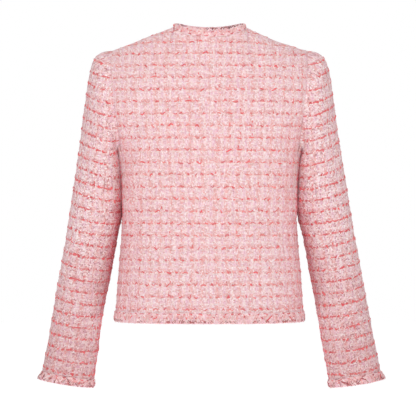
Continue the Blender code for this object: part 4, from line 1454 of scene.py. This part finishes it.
def anywhere(rng, panel, count):
    """Random places on a piece, of which some may be off its edges."""
    across = rng.uniform(panel.across.min(), panel.across.max(), (count, 1))
    return across, rng.uniform(panel.down.min(), panel.down.max(), (count, 1))


def lay_nubs(rng, place, across, down, lean, points, nubs, **laid):
    """Short straight yarns at these places, which lean away from the weft."""
    count, share = len(across), np.linspace(-0.5, 0.5, points)[None, :]
    size = rng.uniform(*nubs.length, (count, 1))
    return lay_yarn(place, across + np.cos(lean) * share * size, down + np.sin(lean) * share * size,
                    rng.uniform(*nubs.thick, count), dyed(rng, nubs.dyes, count), NUB_SIDES, **laid)


def strewn_nubs(rng, place, panel, count, nubs):
    """Small nubs anywhere on the piece, along the warp or the weft."""
    across, down = anywhere(rng, panel, count)
    upright = rng.uniform(size=(count, 1)) < UPRIGHT_NUBS
    lean = rng.uniform(-NUB_LEAN, NUB_LEAN, (count, 1)) + np.where(upright, 0.5 * math.pi, 0.0)
    return lay_nubs(rng, place, across, down, lean, NUB_POINTS, nubs, lift=0.15, flat=0.8)


def groove_shade_nubs(rng, place, panel, inner):
    """Crimson nubs where sleeve and body face each other, as painted shade of the groove."""
    across, down = anywhere(rng, panel, inner.tries)
    points, normals = place(across, down)
    hollow = points[:, 0, 2] > HOLLOW_Z
    least = inner.least + HOLLOW_SHARE * (1 - inner.least) * hollow
    kept = (normals[:, 0, 0] * inner.x_sign > least) & (normals[:, 0, 1] > FACES_BEHIND)
    kept &= points[:, 0, 2] > inner.lowest_z
    across, down = across[kept], down[kept]
    size = (len(across), 1)
    lean = rng.uniform(-INNER_NUB_LEAN, INNER_NUB_LEAN, size)
    lean = lean + np.where(rng.uniform(size=size) < UPRIGHT_INNER_NUBS, 0.5 * math.pi, 0.0)
    return lay_nubs(rng, place, across, down, lean, INNER_NUB_POINTS, inner.nubs, lift=0.1)


print("a crimson nub leans up to", round(math.degrees(INNER_NUB_LEAN)), "degrees")

# %% [markdown]
# Body and sleeves have the same tweed, but the sleeves' dashes are shorter, thicker and closer together,
# because the cloth bends more there. At the top of the upper sleeves almost half of them are left out:
# there the cloth is gathered into the armhole, and its dashes turn inward. In the groove between arm and
# body, crimson nubs are painted shade: they stand for the reddish shade that falls there.

# %% Yarns on the body and sleeves
CORAL = srgb(236, 96, 102)
ROSE = srgb(228, 118, 126)
DEEP_CORAL = srgb(214, 66, 74)
BODY_DYES = (CORAL, CORAL, ROSE, srgb(238, 118, 118), srgb(240, 140, 136))
# The sleeves' coral dyes are darker than the body's, partly as painted shade.
SLEEVE_DYES = (srgb(228, 92, 96), ROSE, srgb(222, 104, 108), srgb(236, 100, 100), srgb(216, 72, 80))
# Dyes of the crimson nubs, which paint the reddish shade in the groove between arm and body.
ARM_SHADE_CRIMSONS = (srgb(236, 36, 60), srgb(244, 88, 106), srgb(248, 142, 154), srgb(250, 162, 174))
SIDE_SHADE_CRIMSONS = (srgb(255, 44, 72), srgb(255, 112, 130), srgb(255, 176, 186), srgb(255, 152, 164))
NUB_DYES = (WHITE, PALE, CREAM, srgb(246, 200, 200), LILAC, GREY, srgb(222, 158, 152))

BODY_ROWS = Dashes(length=(0.0035, 0.0125), gap=(0.003, 0.013), thick=(0.0006, 0.0013), sway=0.0023)
SLEEVE_ROWS = Dashes(length=(0.0028, 0.0085), gap=(0.0018, 0.010), thick=(0.0007, 0.0018), sway=0.0027,
                     lift=0.05)
SLEEVE_HEAD = 0.085         # the sleeve's dashes are thinned out this far down
CREAM_FLOATS = Dashes(length=(0.005, 0.013), gap=(0.006, 0.028), thick=(0.00045, 0.00065), sway=0.0004,
                      sides=4)
CREAM_BELOW_ROW = 0.0034
SLUBS = Nubs(length=(0.004, 0.008), thick=(0.0007, 0.0010), dyes=())
SLUBS_A_CHECK = 0.24
PALE_NUBS = Nubs(length=(0.004, 0.0085), thick=(0.0005, 0.0009), dyes=NUB_DYES)
AREA_OF_A_NUB = 95e-6
YARN_SEED = 100

ARM_SHADE_NUBS = Nubs(length=(0.003, 0.007), thick=(0.0006, 0.0010), dyes=ARM_SHADE_CRIMSONS)
SIDE_SHADE_NUBS = Nubs(length=(0.003, 0.007), thick=(0.0007, 0.0012), dyes=SIDE_SHADE_CRIMSONS)
Inner = namedtuple("Inner", "x_sign least tries nubs lowest_z", defaults=(-math.inf,))
GROOVE_SHADE_NUBS = {
    "side_panel_left": Inner(1, 0.94, 2200, SIDE_SHADE_NUBS, lowest_z=-0.345),
    "side_panel_right": Inner(-1, 0.94, 2200, SIDE_SHADE_NUBS, lowest_z=-0.345),
    "under_sleeve_left": Inner(-1, 0.84, 2200, ARM_SHADE_NUBS),
    "under_sleeve_right": Inner(1, 0.84, 1300, ARM_SHADE_NUBS),
}

triangles = 0
for seed, (name, panel) in enumerate(panels.items()):
    rng = np.random.default_rng(YARN_SEED + seed)
    place = functools.partial(place_on, fields[name])
    reds, dashes = (SLEEVE_DYES, SLEEVE_ROWS) if "sleeve" in name else (BODY_DYES, BODY_ROWS)
    thinned_to = panel.down.min() + SLEEVE_HEAD if "upper" in name else -math.inf
    batches = [
        row_yarns(rng, place, panel, dashes, reds, thinned_to=thinned_to),
        row_yarns(rng, place, panel, CREAM_FLOATS, (WHITE, CREAM), below=CREAM_BELOW_ROW),
        upright_slubs(rng, place, panel, SLUBS_A_CHECK, SLUBS._replace(dyes=reds)),
        strewn_nubs(rng, place, panel, int(cut_area(panel) / AREA_OF_A_NUB), PALE_NUBS),
    ]
    # Painted shade in the groove between arm and body: crimson nubs.
    if name in GROOVE_SHADE_NUBS:
        batches.append(groove_shade_nubs(rng, place, panel, GROOVE_SHADE_NUBS[name]))
    piece = add_piece("yarns_" + name, tube_mesh("yarns_" + name, batches), yarn_finish)
    triangles += 2 * len(piece.data.polygons)
print(triangles, "triangles of yarn")

# %% [markdown]
# Neckline, hem and cuffs are finished with a band of the same yarns, frayed at its edge. A band is a long
# thin cushion: it starts flat on the cloth, rises to a low crown and curls in past the cloth's edge. A
# curve with a bevelled profile would do for a straight edge, but it wouldn't follow the cloth's slope.
# The run is the row of cloth columns that it is sewn to. The band's own weave coordinates run along it
# (across) and from the cloth's edge outward (down), so the same tools lay its strands.

# %% The shape of a band
BAND_WIDTH = 0.0180
BAND_WALL = 0.0014
BAND_STEP = 0.0016          # between the band's points along its run
Profile = namedtuple("Profile", "beyond rise")
BAND_PROFILE = (
    Profile(-0.0186, 0.0001),
    Profile(-0.0176, 0.0007),
    Profile(-0.0162, 0.0015),
    Profile(-0.0140, 0.0023),
    Profile(-0.0110, 0.0029),
    Profile(-0.0070, 0.0032),
    Profile(-0.0035, 0.0028),
    Profile(-0.0012, 0.0019),
    Profile(0.0004, 0.0009),
    Profile(0.0012, -0.0002),
)
band_rise = column_of(BAND_PROFILE, "beyond", "rise")
BAND_STEPS = np.array([row.beyond for row in BAND_PROFILE])
FRAY_STEPS = np.array([0.0026, 0.0042])
FRAY_RISE = -0.0008
NORMAL_REACH = 0.010
FLARE_END = 1.1             # the flare grows on a little past the cloth's edge
FLARE_SIDES, FLARE_TURN, LEAST_FLARE = 0.55, 0.65, 0.1
LIFT_START, LIFT_LENGTH = -0.019, 0.003


def read_at(wanted, travelled, values):
    """A column of points or directions, read at these distances along it."""
    return np.stack([np.interp(wanted, travelled, values[:, k]) for k in range(3)], axis=-1)


def from_edge(points, normals, distances):
    """Places at these distances from the edge onto the cloth, and past it where they are below zero.

    The points are columns that start at the edge.
    """
    travelled = lengths_along(points, 1)
    places, directions = [], []
    for column, normal, length in zip(points, normals, travelled):
        out = column[0] - column[1]
        out /= np.linalg.norm(out)
        inside = np.clip(distances, 0, None)
        past = np.clip(-distances, 0, None)[:, None]
        places.append(read_at(inside, length, column) + out * past)
        directions.append(read_at(inside, length, normal))
    return np.stack(places), np.stack(directions)


def evened(values, travelled, closed):
    """Directions evened out along the run."""
    total = travelled[-1]
    gap = np.abs(travelled[:, None] - travelled[None, :])
    if closed:
        gap = np.minimum(gap, total - gap)
    weight = np.exp(-(gap / NORMAL_REACH) ** 2)
    mixed = np.einsum("ij,jkx->ikx", weight, values)
    return mixed / np.linalg.norm(mixed, axis=-1, keepdims=True)


def make_band(run, normals, closed, flare, lift, crown, size=1.0, outer=0):
    """The band over a run of columns as a Panel, from the cloth inward of the edge to its frayed reach.

    Crown and size are shares of the profile's height and width. It flares all round, or with outer only on
    the side where x has the sign of outer.
    """
    beyond = np.concatenate([BAND_STEPS, FRAY_STEPS])
    places, directions = from_edge(run, normals, np.where(beyond < 0, -beyond * size, -beyond))
    travelled = lengths_along(places, 0)[:, np.argmin(np.abs(beyond))]
    directions = evened(directions, travelled, closed)
    rise = crown * np.interp(beyond, BAND_STEPS, band_rise(BAND_STEPS), right=FRAY_RISE)
    out = flare * np.clip((beyond + BAND_WIDTH) / BAND_WIDTH, 0, FLARE_END) ** 2
    side = np.ones((len(places), 1, 1))
    if outer:
        side = np.clip(FLARE_SIDES + FLARE_TURN * outer * directions[:, :1, :1], LEAST_FLARE, 1)
    stand = lift * ramp(beyond, LIFT_START, LIFT_LENGTH) + rise
    points = places + directions * (stand[None, :, None] + side * out[None, :, None])
    even = np.linspace(0, travelled[-1], int(travelled[-1] / BAND_STEP))

    def resampled(values):
        flat = values.reshape(len(values), -1)
        done = np.stack([np.interp(even, travelled, flat[:, k]) for k in range(flat.shape[1])], axis=-1)
        return done.reshape(len(even), *values.shape[1:])

    points, directions = resampled(points), resampled(directions)
    slope = np.cross(np.gradient(points, axis=0), np.gradient(points, axis=1))
    slope /= np.linalg.norm(slope, axis=-1, keepdims=True)
    slope *= np.sign(np.sum(slope * directions))
    across, down = np.meshgrid(even, beyond, indexing="ij")
    return Panel(points, slope, across, down)


print("a band's crown stands", float(band_rise(BAND_STEPS).max()) * 1000, "mm proud")

# %% [markdown]
# Each band is sewn over the edges of several pieces of cloth, so their columns are joined into one run
# first. Hem and neckline are run round the left half and mirrored, which keeps the centre back even. The
# cuffs are closed rings, and their bands flare out on the side away from the body, as frayed cuffs do.

# %% Runs along the edges, and their bands
RUN_POINTS = 24
RUN_DEPTH = 1.4             # how far onto the cloth a run is read, in band widths
LEAST_APART = 0.0004        # where two pieces meet, one of two columns this close is left out


def edge_columns(panel, chosen, bottom):
    """Columns of a panel that start at its bottom or top edge, cut to the width of a band."""
    points, normals = panel.points[chosen], panel.normals[chosen]
    if bottom:
        points, normals = points[:, ::-1], normals[:, ::-1]
    rows = int(np.argmax(lengths_along(points, 1).min(axis=0) > BAND_WIDTH * RUN_DEPTH)) + 1
    return points[:, :rows], normals[:, :rows]


def joined_run(*parts):
    """Columns of several panels in a row, all with the same number of points."""
    columns, directions = [], []
    for points, normals in parts:
        for column, normal in zip(points, normals):
            length = lengths_along(column[None], 1)[0]
            even = np.linspace(0, length[-1], RUN_POINTS)
            columns.append(read_at(even, length, column))
            directions.append(read_at(even, length, normal))
    columns, directions = np.stack(columns), np.stack(directions)
    apart = np.linalg.norm(np.diff(columns[:, 0], axis=0), axis=-1) > LEAST_APART
    kept = np.concatenate([[True], apart])
    return columns[kept], directions[kept]


def half_and_mirror(points, normals):
    """A run from the centre front round one side to the centre back, and on round the other side."""
    return (np.concatenate([points, mirrored(points[-2::-1])]),
            np.concatenate([normals, mirrored(normals[-2::-1])]))


front, side, back = left_half["front"], left_half["side_panel"], left_half["back"]
forward, backward = slice(None), slice(None, None, -1)
hem_half = joined_run(edge_columns(front, forward, bottom=True), edge_columns(side, backward, bottom=True),
                      edge_columns(back, backward, bottom=True))
beside_neck = np.flatnonzero(BODY_NUMBERS <= NECK_STRETCHES)
neck_half = joined_run(edge_columns(front, beside_neck, bottom=False),
                       edge_columns(back, beside_neck[::-1], bottom=False))
upper, under = left_half["upper_sleeve"], left_half["under_sleeve"]
cuff_run = joined_run(edge_columns(upper, forward, bottom=True), edge_columns(under, forward, bottom=True))
cuff_points, cuff_normals = (np.concatenate([values, values[:1]]) for values in cuff_run)

hem = {"closed": False, "flare": 0.0004, "lift": 0.0003, "crown": 0.62}
neck = {"closed": False, "flare": 0.0016, "lift": 0.0008, "crown": 0.80}
cuff = {"closed": True, "flare": 0.0048, "lift": 0.0004, "crown": 0.75, "size": 0.78}
bands = {
    "hem_trim": make_band(*half_and_mirror(*hem_half), **hem),
    "neck_trim": make_band(*half_and_mirror(*neck_half), **neck),
    "cuff_trim_left": make_band(cuff_points, cuff_normals, outer=1, **cuff),
    "cuff_trim_right": make_band(mirrored(swung(cuff_points)), mirrored(cuff_normals), outer=-1, **cuff),
}
for name, band in bands.items():
    print(name, "runs", round(float(band.across.max()) * 1000), "mm")

# %% [markdown]
# The fray is made of single strands that run out over the band, side by side, each with a slant and a reach
# of its own. Some layers lie on the sewn side and some hang over the edge. A few dark ones come in clusters:
# they are painted shadow, the shade in the gaps between loops, and give the fray its depth. Coral dashes and
# an almost unbroken thin yarn follow the stitching. A hair system would be quicker to set up, but its strands
# can't be exported as a solid mesh.

# %% Ways to lay the fray
Strands = namedtuple("Strands", "pitch lean start end thick points lift")
Line = namedtuple("Line", "down length gap margin sway thick sides")
STRAND_JITTER = 0.35
STRAND_WAVES = (0.6, 1.6)
STRAND_SWAY = 0.0007
CLUSTER_TURNS, CLUSTER_START = (0.23, 0.067), 1.1
LINE_START = 0.002


def lay_strands(rng, place, length, layer, dyes):
    """Strands that run out over the band, side by side, each with its own slant and reach."""
    count = int(length / layer.pitch)
    jitter = rng.uniform(-STRAND_JITTER, STRAND_JITTER, (count, 1))
    across = (np.arange(count)[:, None] + jitter) * layer.pitch
    share = np.linspace(0, 1, layer.points)[None, :]
    first = rng.uniform(*layer.start, (count, 1))
    last = rng.uniform(*layer.end, (count, 1))
    down = first + (last - first) * share
    lean = rng.uniform(*layer.lean, (count, 1))
    curl = waving(rng, count, share, STRAND_WAVES)
    across = across + (down + BAND_WIDTH / 2) * lean + curl * STRAND_SWAY
    return lay_yarn(place, across, down, rng.uniform(*layer.thick, count), dyed(rng, dyes, count), 5,
                    lift=layer.lift)


def in_clusters(tubes, share):
    """Only some of the strands: they come in clusters along the band."""
    order = np.arange(len(tubes.rings))
    waves = np.sin(order * CLUSTER_TURNS[0] + CLUSTER_START) + np.sin(order * CLUSTER_TURNS[1])
    kept = waves > 2 - 4 * share
    return Tubes(tubes.rings[kept], tubes.dye[kept])


def lay_line(rng, place, length, line, dyes):
    """A broken line of yarn along the band's sewn side."""
    dashes = dashes_along(rng, LINE_START, length - line.margin, line.length, line.gap)
    starts, sizes = (np.array(part)[:, None] for part in dashes)
    count, share = len(starts), np.linspace(0, 1, DASH_POINTS)[None, :]
    sway = waving(rng, count, share, DASH_WAVES)
    return lay_yarn(place, starts + sizes * share, line.down + sway * line.sway,
                    rng.uniform(*line.thick, count), dyed(rng, dyes, count), line.sides)


print("the longest strand reaches over", round(BAND_WIDTH * 1000), "mm of band")

# %% [markdown]
# Hem, neck and cuffs have the same layers of fray in dyes of their own: pale on hem and neck, and greyer
# and darker with some brown at the cuffs. The dark strands are painted shadow, darkest at the neck's top, and
# at the cuffs the line along the stitching is partly dark, as painted shadow under the sewn edge.

# %% Make the bands and their fray
INNER_STRANDS = Strands(0.0019, (-0.9, 0.9), (-0.0170, -0.0080), (-0.0040, 0.0010), (0.0005, 0.0008), 9, 0.15)
OUTER_STRANDS = Strands(0.0019, (-0.7, 0.7), (-0.0080, -0.0020), (0.0004, 0.0028), (0.00040, 0.0006), 7, 0.3)
RED_STRANDS = Strands(0.0170, (-2.2, 2.2), (-0.0150, -0.0080), (-0.0110, -0.0020), (0.0007, 0.0010), 7, 0.5)
# Painted shadow: dark strands, laid in clusters, stand for the shade in the gaps between loops.
SHADOW_STRANDS = Strands(0.0020, (-1.6, 1.6), (-0.0076, -0.0030), (-0.0014, 0.0014), (0.0004, 0.0007), 5, 0.6)
SHADOW_STRANDS_SHARE = 0.55
CORAL_LINE = Line(-0.0158, (0.004, 0.011), (0.003, 0.012), 0.012, 0.0009, (0.0006, 0.0010), 5)
EDGE_LINE = Line(-0.0178, (0.006, 0.014), (0.0005, 0.003), 0.014, 0.0004, (0.0006, 0.0009), 4)

Dyes = namedtuple("Dyes", "strands reds darks edge")
HEM_DYES = Dyes(
    strands=(PALE, PALE, PALE, WHITE, CREAM, CREAM, BLUSH, srgb(244, 204, 204), LILAC,
             srgb(234, 170, 168)),
    reds=(CORAL, DEEP_CORAL, ROSE),
    # Dyes of the painted shadow strands.
    darks=(srgb(168, 84, 86), srgb(186, 104, 102), srgb(150, 84, 80), srgb(200, 84, 88)),
    edge=(CREAM, PALE, BLUSH, WHITE),
)
NECK_DYES = HEM_DYES._replace(
    # Darker painted shadow at the neck's top, where the inside shows between the loops.
    darks=(srgb(110, 48, 52), srgb(140, 66, 68), srgb(96, 62, 60), srgb(186, 84, 86)),
)
CUFF_DYES = HEM_DYES._replace(
    strands=(PALE, WHITE, CREAM, PALE, LILAC, GREY, srgb(206, 142, 142), srgb(178, 104, 106),
             srgb(136, 62, 66)),
    reds=(DEEP_CORAL, srgb(168, 40, 52), CORAL),
    # Partly painted shadow: a darker line along the sewn edge.
    edge=(CREAM, GREY, srgb(170, 104, 104)),
)
DYES_OF = {
    "hem_trim": HEM_DYES,
    "neck_trim": NECK_DYES,
    "cuff_trim_left": CUFF_DYES,
    "cuff_trim_right": CUFF_DYES,
}
BAND_ROW = 0.4              # where a coral row lies on a band, as a share of the check
BAND_FIELD_STEP = 0.0012    # a band's rows are uneven, so they are read at close even ones
FRAY_SEED = 300

band_tweed = make_tweed("band_tweed", coral=srgb(222, 96, 100), coral_share=0.38, dark=srgb(214, 160, 158))
band_pieces = {}
for seed, (name, band) in enumerate(bands.items()):
    rng = np.random.default_rng(FRAY_SEED + seed)
    rows = len(BAND_STEPS)
    uv = np.stack([band.across, band.down + BAND_ROW * ROW_REPEAT], axis=-1)
    mesh = grid_mesh("band_" + name, band.points[:, :rows], band.normals[:, :rows], uv[:, :rows])
    piece = add_piece("band_" + name, mesh, band_tweed)
    thicken(piece, BAND_WALL)
    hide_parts(name)

    place = functools.partial(place_on, field_of(band, BAND_FIELD_STEP))
    length, dyes = float(band.across.max()), DYES_OF[name]
    batches = [
        lay_strands(rng, place, length, INNER_STRANDS, dyes.strands),
        lay_strands(rng, place, length, OUTER_STRANDS, dyes.strands),
        lay_strands(rng, place, length, RED_STRANDS, dyes.reds),
        # Painted shadow: dark strands in clusters.
        in_clusters(lay_strands(rng, place, length, SHADOW_STRANDS, dyes.darks), SHADOW_STRANDS_SHARE),
        lay_line(rng, place, length, CORAL_LINE, dyes.reds),
        lay_line(rng, place, length, EDGE_LINE, dyes.edge),
    ]
    fray = add_piece("fray_" + name, tube_mesh("fray_" + name, batches), yarn_finish)
    band_pieces[name] = (piece, fray)
    print(name, 2 * len(fray.data.polygons), "triangles of fray")

# %% [markdown]
# A jacket is cut from flat cloth. For each piece, the two lengths of the sheet that it was cut from, flat on
# the table, and the area inside the cut are worked out here, but nothing is done with them. They could be
# typed in, but here they are measured along the weave, which keeps them true when a table changes. The jacket
# hangs from the shoulders and rests on nothing.


for name, panel in panels.items():
    across, down = float(np.ptp(panel.across)), float(np.ptp(panel.down))
    min(cut_area(panel), across * down)
for name, (piece, fray) in band_pieces.items():
    widths = lengths_along(bands[name].points[:, :len(BAND_STEPS)], 1)[:, -1]
    length, width = float(bands[name].across.max()), float(widths.mean())
print(len(panels) + len(bands), "sheets declared")

# %% [markdown]
# A pale studio: a white floor well below the jacket, a large soft light from behind it, where the camera
# stands, one from above and weaker ones from the front and the sides. Disks give soft shadows, which a
# sun or a point light wouldn't.

# %% Floor and lights
FLOOR_Z = -1.05
FLOOR_REACH = 9.0
MIDDLE = (0.0, 0.0, -0.33)
Light = namedtuple("Light", "name place size watts")
LIGHTS = (
    Light("key", (0.1, 2.2, 1.4), 1.3, 31),
    Light("top", (0.0, 1.3, 2.2), 1.5, 11.5),
    Light("front_fill", (-0.6, -3.4, 1.2), 2.2, 40),
    Light("left_fill", (3.2, 0.6, 0.6), 1.8, 3),
    Light("right_fill", (-3.2, 0.6, 0.6), 1.8, 3),
)

floor_mesh = bpy.data.meshes.new("studio_floor")
corners = [(x * FLOOR_REACH, y * FLOOR_REACH, FLOOR_Z) for x, y in ((-1, -1), (1, -1), (1, 1), (-1, 1))]
floor_mesh.from_pydata(corners, [], [(0, 1, 2, 3)])
floor = bpy.data.objects.new("studio_floor", floor_mesh)
bpy.context.scene.collection.objects.link(floor)
floor_material = bpy.data.materials.new("pale_floor")
floor_material.use_nodes = True
floor_shader = floor_material.node_tree.nodes["Principled BSDF"]
floor_shader.inputs["Base Color"].default_value = (0.92, 0.92, 0.92, 1)
floor_shader.inputs["Roughness"].default_value = 0.9
floor_shader.inputs["Emission Color"].default_value = (1, 1, 1, 1)
floor_shader.inputs["Emission Strength"].default_value = 0.6
floor_mesh.materials.append(floor_material)
floor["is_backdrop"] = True

for light in LIGHTS:
    lamp_data = bpy.data.lights.new(light.name, "AREA")
    lamp_data.shape = "DISK"
    lamp_data.size = light.size
    lamp_data.energy = light.watts
    lamp = bpy.data.objects.new(light.name, lamp_data)
    lamp.location = light.place
    lamp.rotation_euler = (Vector(MIDDLE) - Vector(light.place)).to_track_quat("-Z", "Y").to_euler()
    bpy.context.scene.collection.objects.link(lamp)
print(len(LIGHTS), "lights,", sum(light.watts for light in LIGHTS), "watts in all")

# %% [markdown]
# The surround is white where the camera sees it and only half as bright where it lights the cloth, so the
# background is plain without washing out the weave. The camera stands level with the jacket's middle, far
# enough away that the sleeves don't look longer than they are.

# %% Surround and camera
SOFT_SURROUND = 0.46
CAMERA_PLACE = (0.0027, 3.7, -0.326)
VIEW_WIDTH = 0.75705
SENSOR = 36.0

world = bpy.data.worlds.new("surround")
bpy.context.scene.world = world
world.use_nodes = True
tree = world.node_tree
tree.nodes.clear()
backgrounds = []
for strength in (SOFT_SURROUND, 1.0):
    background = tree.nodes.new("ShaderNodeBackground")
    background.inputs["Strength"].default_value = strength
    background.inputs["Color"].default_value = (1, 1, 1, 1)
    backgrounds.append(background)
path = tree.nodes.new("ShaderNodeLightPath")
either = tree.nodes.new("ShaderNodeMixShader")
shown = tree.nodes.new("ShaderNodeOutputWorld")
tree.links.new(path.outputs["Is Camera Ray"], either.inputs[0])
for background, socket in zip(backgrounds, list(either.inputs)[1:]):
    tree.links.new(background.outputs[0], socket)
tree.links.new(either.outputs[0], shown.inputs[0])
bpy.context.scene.view_settings.view_transform = "Standard"

camera_data = bpy.data.cameras.new("camera")
camera_data.sensor_width = SENSOR
camera_data.lens = SENSOR * CAMERA_PLACE[1] / VIEW_WIDTH
camera = bpy.data.objects.new("camera", camera_data)
camera.location = CAMERA_PLACE
camera.rotation_euler = (math.pi / 2, 0, math.pi)
bpy.context.scene.collection.objects.link(camera)
bpy.context.scene.camera = camera
print("camera", CAMERA_PLACE[1], "m behind the jacket, lens", round(camera_data.lens, 1), "mm")

# %% [markdown]
# The box of everything shown is compared with the box of the solids: the last step prints by how much the
# shown jacket reaches past it on each side.

# %% Keep the sizes, and finish
shown_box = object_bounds()
for axis, low, high, solid_low, solid_high in zip("xyz", *shown_box, *solid_box):
    below, above = ((solid_low - low) * 1000, (high - solid_high) * 1000)
    print(axis, "grows by", round(below, 1), "and", round(above, 1), "mm")
